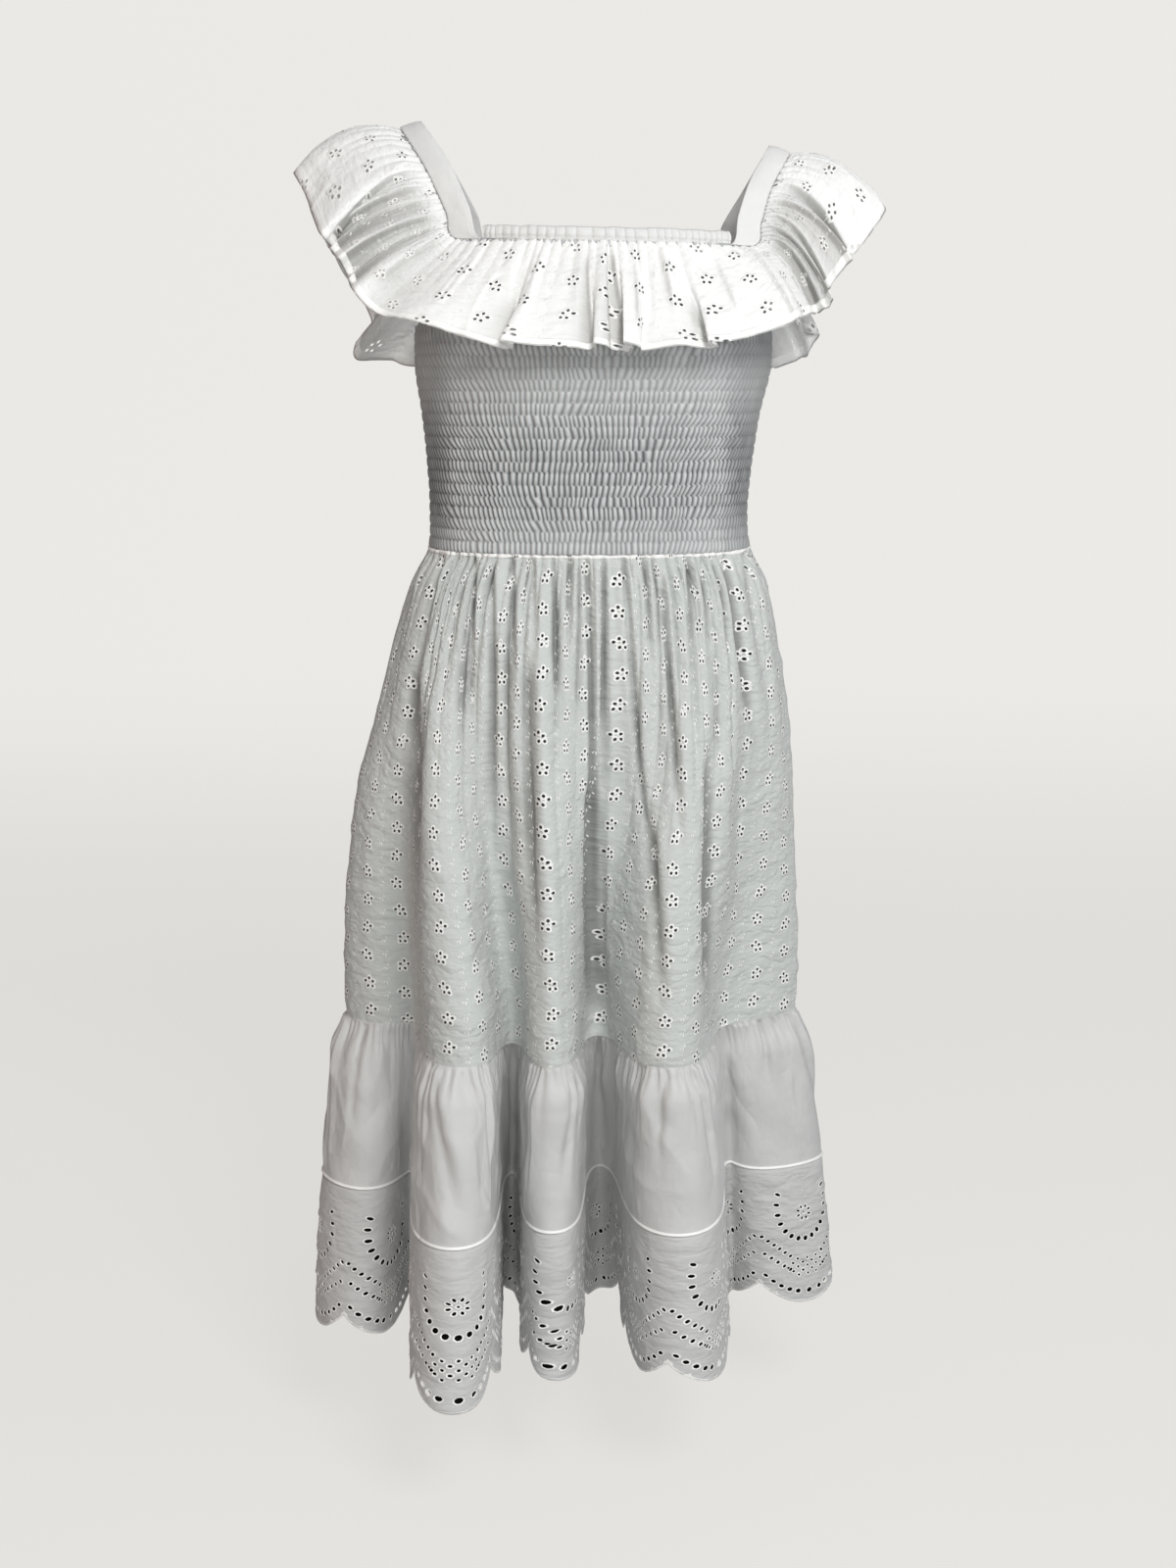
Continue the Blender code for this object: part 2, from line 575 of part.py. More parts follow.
def border_half(name, first, count, material, collection):
    """Half of the cutwork border: the flat repeats carried onto the folds, with a wall's thickness."""
    flat, triangles = joined_tiles(count)
    used, index = np.unique(triangles, return_inverse=True)
    flat, triangles = flat[used], index.reshape(triangles.shape)
    gap = SEAM_GAP / 2 / HEM_LENGTH
    ends = first / SCALLOPS + gap, (first + count) / SCALLOPS - gap
    share = np.clip((first + flat[:, 0]) / SCALLOPS, *ends)
    turn, z = turn_at(share), HEM_TIP + flat[:, 1] - SEAM_GAP
    normal = plan_normal(puffed_flounce_point, turn, z)
    middle = puffed_flounce_point(turn, z)
    vertices = np.concatenate([middle + normal * WALL / 2, middle - normal * WALL / 2])
    sides = np.concatenate([triangles[:, [0, 1]], triangles[:, [1, 2]], triangles[:, [2, 0]]])
    _, at, uses = np.unique(np.sort(sides, axis=1), axis=0, return_index=True, return_counts=True)
    rim = sides[at[uses == 1]]
    behind = len(flat)
    faces = [tuple(t) for t in triangles.tolist()]
    faces += [tuple(t) for t in (triangles[:, ::-1] + behind).tolist()]
    faces += [(b, a, a + behind, b + behind) for a, b in rim.tolist()]
    new_object(name, vertices, faces, material, collection)


def build():
    clear_scene()
    collection = bpy.data.collections.new("peasant_dress")
    bpy.context.scene.collection.children.link(collection)
    shirred = cotton("shirred cotton", (0.80, 0.80, 0.79), 0.85)
    eyelet = cotton("eyelet cotton", (0.88, 0.88, 0.86), 0.80)
    plain = cotton("plain cotton", (0.90, 0.90, 0.89), 0.65)
    cutwork = cotton("cutwork cotton", (0.90, 0.90, 0.88), 0.75)

    angles, shares, _ = body_angles()
    right_side = float(np.interp(90.0, angles, shares))
    bodice_half("bodice_front", 0.0, right_side, shirred, collection)
    bodice_half("bodice_back", right_side, 1.0, shirred, collection)
    neckband("neckband_front", *FRONT_CORNERS, plain, collection)
    neckband("neckband_back", *BACK_CORNERS, plain, collection)
    strap("strap_right", FRONT_RIGHT, BACK_RIGHT, plain, collection)
    strap("strap_left", BACK_LEFT, FRONT_LEFT, plain, collection)
    ruffle_half("ruffle_front", LEFT_SHOULDER - len(YOKE), RIGHT_SHOULDER, eyelet, collection)
    ruffle_half("ruffle_back", RIGHT_SHOULDER, LEFT_SHOULDER, eyelet, collection)

    front = (0.0, SCALLOPS_FRONT / SCALLOPS)
    back = (SCALLOPS_FRONT / SCALLOPS, 1.0)
    for word, side in (("front", front), ("back", back)):
        tier_half(f"skirt_{word}", skirt_point, SKIRT_HEIGHTS, WAIST_GATHER, WAIST_GATHER_FADE,
                  side, eyelet, collection)
        tier_half(f"flounce_{word}", puffed_flounce_point, FLOUNCE_HEIGHTS, FLOUNCE_GATHER,
                  FLOUNCE_GATHER_FADE, side, plain, collection)
    border_half("border_front", 0, SCALLOPS_FRONT, cutwork, collection)
    border_half("border_back", SCALLOPS_FRONT, SCALLOPS - SCALLOPS_FRONT, cutwork, collection)
    print(f"hem {HEM_LENGTH:.3f} m, {HEM_LENGTH / SCALLOPS * 1000:.1f} mm a scallop")


build()
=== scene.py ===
# %% [markdown]
# # A worn peasant dress in white cotton
# The dress hangs on an unseen wearer: a shirred bodice, an eyelet ruffle that runs round the neckline
# and over both shoulders, a gathered skirt of eyelet lawn, a plain gathered flounce and a scalloped
# border of cutwork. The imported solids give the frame; every piece here is thinner cloth on that form.

import bpy
import numpy as np
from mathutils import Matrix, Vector
from mathutils.geometry import delaunay_2d_cdt


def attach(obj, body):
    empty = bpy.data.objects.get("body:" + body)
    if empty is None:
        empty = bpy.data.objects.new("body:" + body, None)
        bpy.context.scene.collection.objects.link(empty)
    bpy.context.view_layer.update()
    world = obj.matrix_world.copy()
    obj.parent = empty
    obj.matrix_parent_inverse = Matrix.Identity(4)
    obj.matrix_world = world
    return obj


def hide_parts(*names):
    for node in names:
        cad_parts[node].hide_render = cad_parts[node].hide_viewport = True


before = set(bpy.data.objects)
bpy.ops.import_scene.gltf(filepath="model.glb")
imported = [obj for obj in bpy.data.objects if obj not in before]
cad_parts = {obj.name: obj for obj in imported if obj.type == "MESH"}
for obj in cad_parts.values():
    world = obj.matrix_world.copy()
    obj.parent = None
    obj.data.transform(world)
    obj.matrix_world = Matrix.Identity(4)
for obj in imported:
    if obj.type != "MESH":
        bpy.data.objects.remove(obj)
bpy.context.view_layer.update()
print("CAD nodes:", ", ".join(sorted(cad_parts)))

# %% [markdown]
# ## The wearer's form
# On the real dress the wearer's body gives the bodice its form, and gravity gives the skirt its folds.
# The body could be sculpted, but a few sections read off the photo and joined by a smooth curve keep
# every seam at a named height, so the sections and the folds are kept as short tables.

# %% sizes and tables
NECK_TOP, BAND_FOOT, NECK_TILT = -0.0920, -0.1030, 0.020
UNDERARM, BUST, WAIST, FLOUNCE_TOP, BORDER_TOP, HEM_TIP = -0.1750, -0.215, -0.3740, -0.8220, -0.9810, -1.1310
SCALLOPS, SCALLOPS_FRONT, SCALLOP_WIDTH, SCALLOP_DEPTH, SCALLOP_ROUNDNESS = 29, 18, 0.0900, 0.024, 2.2
BORDER_DEPTH = BORDER_TOP - HEM_TIP
SQUARENESS, SIDE_ANGLE, FOLD_WAIST_STEP, FOLD_START, FLARE = 0.8, -84.0, 4.0, -0.40, 0.75
FLOUNCE_PUFF, FLOUNCE_PUFF_RISE = 0.009, 0.035
RUFFLE_ARCH, ARCH_STARTS, ARCH_REACH, RUFFLE_LIFT = 0.018, 0.10, 0.06, 0.0024
CASING_WALL, STRAP_WALL, RUFFLE_WALL, BORDER_WALL = 0.0012, 0.0014, 0.0005, 0.0006
# How far apart two points lie that give a ring's direction, and how far a relief takes to fade at a seam
TURN_STEP, ANGLE_STEP, SEAM_FADE = 0.02, 0.5, 0.015
# Relief heights between which the painted shade goes from full, wholly in a hollow, to none, wholly out of it
TIER_SHADE_SPAN, RUFFLE_SHADE_SPAN = (-0.0075, -0.0010), (-0.012, -0.002)


def table(names, text):
    """Rows of numbers, one line a row, whose columns are read by name."""
    rows = [tuple(map(float, line.split())) for line in text.strip().splitlines()]
    return np.array(rows, dtype=[(name, float) for name in names.split()])


def columns(rows, names):
    """The named columns of a table, side by side."""
    return np.stack([rows[name] for name in names.split()], axis=-1)


# How far the garment reaches left, right, front and back of the origin's upright line, at each height
SECTIONS = table(
    "z left right front back",
    """
-0.09 0.144 0.156 0.103 0.096
-0.15 0.154 0.164 0.116 0.099
-0.207 0.158 0.167 0.124 0.102
-0.26 0.151 0.156 0.113 0.098
-0.31 0.147 0.149 0.104 0.096
-0.345 0.146 0.147 0.102 0.096
-0.374 0.148 0.15 0.104 0.099
-0.405 0.164 0.166 0.115 0.112
-0.445 0.176 0.174 0.126 0.124
-0.52 0.19 0.185 0.14 0.14
-0.6 0.206 0.189 0.152 0.15
-0.7 0.223 0.192 0.162 0.157
-0.83 0.24 0.205 0.17 0.16
""",
)

# The large folds, in turn from the left side round the front, ridge and valley by turns
FOLDS = table(
    "waist face seam_x seam_y hem_x hem_y seam_half hem_half",
    """
-72 -48 -0.227 -0.045 -0.249 -0.074 0.038 0.062
-54 -45 -0.163 -0.06 -0.174 -0.022 0.008 0.01
-39 -10 -0.12 -0.192 -0.124 -0.241 0.033 0.04
-24 0 -0.07 -0.118 -0.078 0.015 0.01 0.014
-9 0 -0.031 -0.192 -0.034 -0.18 0.02 0.022
5 0 0.01 -0.095 0.013 0.032 0.015 0.02
25 5 0.074 -0.194 0.089 -0.19 0.033 0.043
48 45 0.124 -0.075 0.142 0.022 0.009 0.012
70 28 0.182 -0.038 0.22 0 0.04 0.056
98 95 0.182 0.034 0.196 0.074 0.012 0.012
121 125 0.163 0.105 0.198 0.15 0.028 0.032
141 145 0.112 0.108 0.116 0.104 0.012 0.012
159 162 0.074 0.165 0.09 0.215 0.028 0.032
178 180 0.012 0.126 0.014 0.122 0.012 0.012
197 196 -0.054 0.168 -0.06 0.218 0.028 0.032
216 214 -0.102 0.112 -0.11 0.106 0.012 0.012
236 236 -0.158 0.116 -0.19 0.156 0.028 0.032
258 258 -0.184 0.046 -0.206 0.054 0.012 0.012
""",
)

# The yoke, from the front centre to the right and round: the neckline, the ruffle's seam and its edge
YOKE = table(
    "neck_x neck_y neck_z seam_x seam_y seam_z edge_x edge_y edge_z",
    """
0.016 -0.104 -0.092 0.016 -0.1078 -0.105 0.016 -0.158 -0.192
0.08 -0.096 -0.093 0.082 -0.099 -0.106 0.105 -0.146 -0.19
0.124 -0.0755 -0.1055 0.1465 -0.06 -0.1059 0.2 -0.1 -0.162
0.132 -0.066 -0.08 0.1545 -0.053 -0.086 0.218 -0.084 -0.136
0.143 -0.046 -0.049 0.164 -0.043 -0.057 0.238 -0.058 -0.113
0.163 0 -0.016 0.184 0 -0.023 0.264 0 -0.073
0.145 0.046 -0.049 0.166 0.046 -0.057 0.222 0.078 -0.122
0.126 0.066 -0.082 0.15 0.056 -0.087 0.207 0.112 -0.165
0.118 0.074 -0.1053 0.142 0.06 -0.1058 0.209 0.122 -0.205
0.06 0.091 -0.094 0.07 0.095 -0.107 0.085 0.146 -0.212
-0.05 0.091 -0.091 -0.055 0.0966 -0.105 -0.075 0.148 -0.212
-0.0945 0.082 -0.1011 -0.118 0.0715 -0.1006 -0.218 0.126 -0.206
-0.104 0.074 -0.072 -0.127 0.068 -0.078 -0.21 0.112 -0.165
-0.124 0.05 -0.034 -0.146 0.048 -0.04 -0.237 0.082 -0.118
-0.15 0 0.005 -0.171 0 -0.001 -0.261 0 -0.046
-0.124 -0.052 -0.03 -0.146 -0.052 -0.038 -0.237 -0.075 -0.088
-0.104 -0.079 -0.072 -0.1265 -0.0735 -0.077 -0.212 -0.102 -0.124
-0.0925 -0.0895 -0.1011 -0.116 -0.08 -0.1007 -0.186 -0.126 -0.16
-0.05 -0.102 -0.091 -0.052 -0.1044 -0.104 -0.088 -0.152 -0.19
""",
)
FRONT_RIGHT, BACK_RIGHT, BACK_LEFT, FRONT_LEFT = 2, 8, 11, 17
YOKE_OVERRUN, YOKE_EASE = 6, 1.0

# %% [markdown]
# ## Curves through the tables
# A table row is a section or a fold; between rows the cloth runs on smoothly. A Hermite curve keeps
# every row exactly, which suits the body, and a B-spline rounds its rows off, which suits soft folds.


# %% the curves
def eased(knots, rows, at):
    """Values of the rows at the places given: a cubic through every row, with slopes from its neighbours."""
    at = np.clip(at, knots[0], knots[-1])
    slopes = np.gradient(rows, knots, axis=0)
    before = np.clip(np.searchsorted(knots, at) - 1, 0, len(knots) - 2)
    width = knots[before + 1] - knots[before]
    part = ((at - knots[before]) / width)[..., None]
    width = width[..., None]
    rise = part * part * (3 - 2 * part)
    leave = part * (1 - part) ** 2 * width
    arrive = -part * part * (1 - part) * width
    start, end = rows[before], rows[before + 1]
    return start + (end - start) * rise + slopes[before] * leave + slopes[before + 1] * arrive


def smooth_step(value):
    """0 below 0, 1 above 1 and 3v^2 - 2v^3 between."""
    value = np.clip(value, 0.0, 1.0)
    return value * value * (3 - 2 * value)


def run_length(points):
    """The length along a line of points, from its start up to each."""
    return np.concatenate([[0], np.cumsum(np.linalg.norm(np.diff(points, axis=0), axis=1))])


def bell(value):
    """exp(-v^2): 1 at 0, about a third at 1 and almost nothing past 2."""
    return np.exp(-(value**2))


def reaches(z):
    """How far the body reaches left, right, front and back at height z."""
    return np.moveaxis(eased(SECTIONS["z"][::-1], columns(SECTIONS[::-1], "left right front back"), z), -1, 0)


def body_ring(angle, z):
    """A point of the rounded-square section at height z: the reaches times sin^0.8 and cos^0.8."""
    left, right, front, back = reaches(z)
    sine, cosine = np.sin(np.radians(angle)), np.cos(np.radians(angle))
    x = np.sign(sine) * np.abs(sine) ** SQUARENESS * np.where(sine > 0, right, left)
    y = -np.sign(cosine) * np.abs(cosine) ** SQUARENESS * np.where(cosine > 0, front, back)
    return np.stack([x, y, np.broadcast_to(z, x.shape)], axis=-1)


def plan_normal(surface, at, z, step):
    """The outward direction in plan, square to a surface's ring, from two points a small step apart."""
    along = surface(at + step, z) - surface(at - step, z)
    normal = np.stack([along[..., 1], -along[..., 0], np.zeros_like(along[..., 0])], axis=-1)
    return normal / np.linalg.norm(normal, axis=-1, keepdims=True)


def raised(surface, at, z, height, step=TURN_STEP):
    """Points of a surface moved outward in plan by a height."""
    return surface(at, z) + plan_normal(surface, at, z, step) * np.asarray(height)[..., None]


def fold_controls():
    """Two B-spline points for each row of FOLDS, one on each side, at the waist, the seam and the hem."""
    face = np.radians(FOLDS["face"])
    along = np.stack([np.cos(face), np.sin(face)], axis=-1)
    pairs = []
    for side in (-1, 1):
        at_waist = FOLDS["waist"] + side * FOLD_WAIST_STEP
        at_seam = columns(FOLDS, "seam_x seam_y") + side * FOLDS["seam_half"][:, None] * along
        at_hem = columns(FOLDS, "hem_x hem_y") + side * FOLDS["hem_half"][:, None] * along
        pairs.append(np.column_stack([at_waist, at_seam, at_hem]))
    return np.stack(pairs, axis=1).reshape(-1, 5)


CONTROLS = fold_controls()
SPANS = len(CONTROLS)
STEADY = np.column_stack([CONTROLS[:, 0] - 360.0 * np.arange(SPANS) / SPANS, CONTROLS[:, 1:]])


def fold_curve(turn):
    """Waist angle, seam place and hem place at a turn from 0 to SPANS, on a closed cubic B-spline."""
    first = np.floor(turn).astype(int)
    part = (turn - first)[..., None]
    weights = (
        (1 - part) ** 3 / 6,
        (3 * part**3 - 6 * part**2 + 4) / 6,
        (-3 * part**3 + 3 * part**2 + 3 * part + 1) / 6,
        part**3 / 6,
    )
    blend = sum(w * STEADY[(first + k - 1) % SPANS] for k, w in enumerate(weights))
    return blend[..., 0] + 360.0 * turn / SPANS, blend[..., 1:3], blend[..., 3:5]


def skirt_point(turn, z):
    """Body sections at the waist that turn into the folds of the seam curve lower down."""
    angle, seam, _ = fold_curve(turn)
    ring = body_ring(angle, z)
    share = smooth_step((FOLD_START - z) / (FOLD_START - FLOUNCE_TOP))[..., None]
    ring[..., :2] = ring[..., :2] * (1 - share) + seam * share
    return ring


def flounce_base(turn, z):
    """From the seam curve out to the hem curve, by the drop to the power 0.75: it flares most at the top."""
    _, seam, hem = fold_curve(turn)
    share = (np.clip((FLOUNCE_TOP - z) / (FLOUNCE_TOP - HEM_TIP), 0.0, 1.0) ** FLARE)[..., None]
    plan = seam * (1 - share) + hem * share
    return np.concatenate([plan, np.broadcast_to(z, plan.shape[:-1])[..., None]], axis=-1)


def flounce_point(turn, z):
    """The same with its ridges swelled out under the gathered top, by a cosine that is 1 on each ridge."""
    on_ridge = (1 + np.cos(2 * np.pi * (turn - 0.5) / 4)) / 2
    puff = FLOUNCE_PUFF * smooth_step((FLOUNCE_TOP - z) / FLOUNCE_PUFF_RISE) * on_ridge
    return raised(flounce_base, turn, z, puff)


def ring_shares(place, first_angle):
    """Turns from the left side seam round, each one's share of the ring's length, and that length."""
    turns = np.linspace(0, SPANS, 7201)
    turns = turns + np.interp(first_angle + 360.0, fold_curve(turns)[0], turns) - SPANS
    length = run_length(fold_curve(turns)[place])
    return turns, length / length[-1], length[-1]


TURNS, HEM_SHARES, HEM_LENGTH = ring_shares(2, SIDE_ANGLE)
_, SEAM_SHARES, SEAM_LENGTH = ring_shares(1, SIDE_ANGLE)
print(f"flounce seam {SEAM_LENGTH:.3f} m round, hem {HEM_LENGTH:.3f} m round")


def turn_at(share):
    """The turn where a share of the hem's length has gone by."""
    return np.interp(share, HEM_SHARES, TURNS)


# %% [markdown]
# ## Cloth as a surface
# Real cloth is cut flat, and each piece here is a sheet whose points know where they lie on the flat
# cloth, in metres, in the UV map. Weave, eyelets and stitches are drawn in that flat map, so a print
# or a hole follows its fold. Modelling by hand would give the form without the map.


# %% mesh helpers
def sheet_object(name, points, cloth, faces, material, **marks):
    """One mesh from points, their places on the flat cloth as UV, faces of equal size and named marks."""
    mesh = bpy.data.meshes.new(name)
    faces = np.asarray(faces, np.int32)
    corners = faces.shape[1]
    mesh.vertices.add(len(points))
    mesh.vertices.foreach_set("co", np.ascontiguousarray(points, np.float32).ravel())
    mesh.loops.add(faces.size)
    mesh.loops.foreach_set("vertex_index", faces.ravel())
    mesh.polygons.add(len(faces))
    mesh.polygons.foreach_set("loop_start", np.arange(0, faces.size, corners, dtype=np.int32))
    layer = mesh.uv_layers.new(name="cloth")
    layer.data.foreach_set("uv", np.ascontiguousarray(cloth[faces.ravel()], np.float32).ravel())
    for mark, values in marks.items():
        values = np.broadcast_to(values, points.shape[:-1]).ravel()
        data = mesh.attributes.new(mark, "FLOAT", "POINT").data
        data.foreach_set("value", np.ascontiguousarray(values, np.float32))
    mesh.update(calc_edges=True)
    mesh.validate()
    mesh.shade_smooth()
    mesh.materials.append(material)
    obj = bpy.data.objects.new(name, mesh)
    bpy.context.scene.collection.objects.link(obj)
    return obj


def grid_object(name, points, cloth, material, **marks):
    """A sheet from a grid: rows run down, columns to the wearer's left round the front, faces point out."""
    rows, count = points.shape[:2]
    index = np.arange(rows * count).reshape(rows, count)
    marks = {mark: np.broadcast_to(values, (rows, count)).ravel() for mark, values in marks.items()}
    quads = np.stack([index[:-1, :-1], index[1:, :-1], index[1:, 1:], index[:-1, 1:]], axis=-1)
    points, cloth = points.reshape(-1, 3), cloth.reshape(-1, 2)
    return sheet_object(name, points, cloth, quads.reshape(-1, 4), material, **marks)


def thicken(obj, thickness):
    """Gives a sheet its thickness with a Solidify modifier, half to each side."""
    solid = obj.modifiers.new("thickness", "SOLIDIFY")
    solid.thickness = thickness
    solid.offset = 0.0
    solid.use_even_offset = False


def surface_normals(grid):
    """Unit normals of a grid of points, the cross product of its downward and sideward steps."""
    normal = np.cross(np.gradient(grid, axis=0), np.gradient(grid, axis=1))
    return normal / np.linalg.norm(normal, axis=-1, keepdims=True)


# %% [markdown]
# ## Uneven cloth
# Gathers and creases are never even. Smooth random numbers shift and scale them, from a fixed seed so
# that the dress is the same each time, and the main creases are listed in short tables.


# %% unevenness
def uneven(u, v, cell_u, cell_v, seed):
    """Smooth random height from -1 to 1: random numbers on a lattice, blended by smooth steps."""
    numbers = np.random.default_rng(seed).uniform(-1, 1, (64, 64))
    x, y = np.broadcast_arrays(u / cell_u + 32, v / cell_v + 32)
    i, j = np.floor(x).astype(int), np.floor(y).astype(int)
    s, t = smooth_step(x - i), smooth_step(y - j)
    low = numbers[i % 64, j % 64] * (1 - s) + numbers[(i + 1) % 64, j % 64] * s
    high = numbers[i % 64, (j + 1) % 64] * (1 - s) + numbers[(i + 1) % 64, (j + 1) % 64] * s
    return low * (1 - t) + high * t


def gathers(u, v, pitch, seed, sharpness=0.7):
    """Rounded ridges with narrow valleys, |sin|^sharpness of a wandering phase: 0 low, 1 on a ridge."""
    wander = 0.35 * uneven(u, v, 3.1 * pitch, 12 * pitch, seed)
    wander = wander + 0.20 * uneven(u, v, 1.3 * pitch, 20 * pitch, seed + 1)
    ridge = np.abs(np.sin(np.pi * (u / pitch + wander))) ** sharpness
    return ridge * (0.72 + 0.28 * uneven(u, v, 1.1 * pitch, 9 * pitch, seed + 2))


def troughs(u, v, rows):
    """Sum of listed creases: a narrow bell sunk in a wide lopsided one, round a bowed line."""
    height = np.zeros(np.broadcast(u, v).shape)
    for row in rows:
        du, dv = row["to_u"] - row["from_u"], row["to_v"] - row["from_v"]
        length = np.hypot(du, dv)
        along = ((u - row["from_u"]) * du + (v - row["from_v"]) * dv) / length**2
        off = ((u - row["from_u"]) * dv - (v - row["from_v"]) * du) / length
        off = (off - row["bow"] * 4 * along * (1 - along)) / (row["width"] * (1 + 0.6 * np.clip(along, 0, 1)))
        fade = smooth_step(along / 0.12) * smooth_step((1 - along) / 0.5)
        shoulders = (0.45 - 0.22 * off) * bell(off / 2.6)
        height -= row["depth"] * fade * (bell(off) - shoulders)
    return height


def crumpled(u, v, cell_u, cell_v, seed):
    """Sharp little creases from 0 to 1: (1 - |n|)^5 of a smooth random number n."""
    return (1 - np.abs(uneven(u, v, cell_u, cell_v, seed))) ** 5


def hollowed(height, low, high):
    """How far a height lies down in the hollows, 0 at the high value and 1 at the low one."""
    return 1 - smooth_step((height - low) / (high - low))


# %% [markdown]
# ## Cotton
# White cotton lawn: matt, a little translucent, a fine plain weave. At this distance the threads are
# finer than a pixel, so the weave is a slight bump in the flat map, with a soft crumple over it and,
# in pressed cloth, broad creases. Two marks on the points steer the colour: worked, where stitches
# raise and whiten the cloth, and a mark of painted shade, darker colour painted where a fold lies too deep
# for light to bounce back out of it.


# %% shader helpers
THREAD_PITCH, THREAD_HEIGHT, STITCH_HEIGHT, STITCH = 0.0007, 0.00003, 0.0006, (0.95, 0.945, 0.93, 1.0)
# Flowers: each file's shift down in repeats, their sway, the holes' narrowness, the rim's place in hole radii
FILE_SHIFT, SWAY, HOLE_NARROWING, RIM_PLACE = 0.37, 0.0020, 0.86, 1.42


class Graph:
    """Writes shader nodes briefly: a call adds a node, links what is a socket and sets what is a number."""

    def __init__(self, tree):
        self.tree = tree

    def node(self, kind, inputs=(), **settings):
        made = self.tree.nodes.new(kind)
        for name, value in settings.items():
            setattr(made, name, value)
        for key, value in dict(inputs).items():
            self.feed(made.inputs[key], value)
        return made

    def feed(self, socket, value):
        if isinstance(value, bpy.types.NodeSocket):
            self.tree.links.new(value, socket)
        else:
            socket.default_value = value

    def math(self, operation, *values):
        return self.node("ShaderNodeMath", dict(enumerate(values)), operation=operation).outputs[0]

    def add(self, *values):
        return self.math("ADD", *values)

    def minus(self, *values):
        return self.math("SUBTRACT", *values)

    def times(self, *values):
        return self.math("MULTIPLY", *values)

    def wrap(self, value, half):
        """The value wrapped round to lie between -half and half."""
        return self.math("WRAP", value, half, self.times(half, -1.0))

    def length(self, x, y):
        """The root of x^2 + y^2."""
        return self.math("SQRT", self.add(self.math("POWER", x, 2.0), self.math("POWER", y, 2.0)))

    def blend(self, share, low, high):
        """A colour between two, by a share from 0 to 1."""
        mixed = self.node("ShaderNodeMix", data_type="RGBA")
        for label, value in {"Factor": share, "A": low, "B": high}.items():
            self.feed(next(s for s in mixed.inputs if s.name == label and s.enabled), value)
        return next(s for s in mixed.outputs if s.enabled)

    def noise(self, place, scale, detail, distortion=0.0):
        inputs = {"Vector": place, "Scale": scale, "Detail": detail, "Distortion": distortion}
        return self.node("ShaderNodeTexNoise", inputs).outputs[0]

    def ramp(self, value, low, high):
        inputs = {"Value": value, "From Min": low, "From Max": high}
        return self.node("ShaderNodeMapRange", inputs, interpolation_type="SMOOTHSTEP").outputs[0]


def new_group(name, inputs, outputs):
    """A shader node group with float or vector sockets: name to default value, and names of its outputs."""
    tree = bpy.data.node_groups.new(name, "ShaderNodeTree")
    for label, default in inputs.items():
        kind = "NodeSocketVector" if isinstance(default, tuple) else "NodeSocketFloat"
        socket = tree.interface.new_socket(label, in_out="INPUT", socket_type=kind)
        socket.default_value = default
    for label in outputs:
        tree.interface.new_socket(label, in_out="OUTPUT", socket_type="NodeSocketFloat")
    graph = Graph(tree)
    return tree, graph, graph.node("NodeGroupInput").outputs, graph.node("NodeGroupOutput").inputs


def weave_group():
    """Weave, crumple and creases as one height: crossed waves, a noise, and folded noises, |n - 0.5|."""
    inputs = {"Cloth": (0.0, 0.0, 0.0), "Crumple": 1.0, "Stretch": 2.0, "Creases": 0.0}
    tree, g, given, out = new_group("weave", inputs, ["Height"])
    across, upward = g.node("ShaderNodeSeparateXYZ", {0: given["Cloth"]}).outputs[:2]
    turns = 2 * np.pi / THREAD_PITCH
    warp = g.math("SINE", g.times(across, turns))
    weft = g.math("SINE", g.times(upward, turns))
    threads = g.times(g.times(warp, weft), THREAD_HEIGHT)
    tall = g.times(upward, given["Stretch"])
    place = g.node("ShaderNodeCombineXYZ", {0: across, 1: tall}).outputs[0]
    fine = g.noise(place, 170.0, 3.0)
    broad = g.noise(place, 38.0, 2.0)
    folded = g.math("ABSOLUTE", g.minus(broad, 0.5))
    crumple = g.math("MULTIPLY_ADD", fine, 0.0006, g.times(folded, 0.0048))
    coarse = g.noise(place, 14.0, 1.0, 0.3)
    pressed = g.times(g.math("ABSOLUTE", g.minus(coarse, 0.5)), 0.013)
    height = g.math("MULTIPLY_ADD", crumple, given["Crumple"], threads)
    height = g.math("MULTIPLY_ADD", pressed, given["Creases"], height)
    g.feed(out["Height"], height)
    return tree


WEAVE = weave_group()


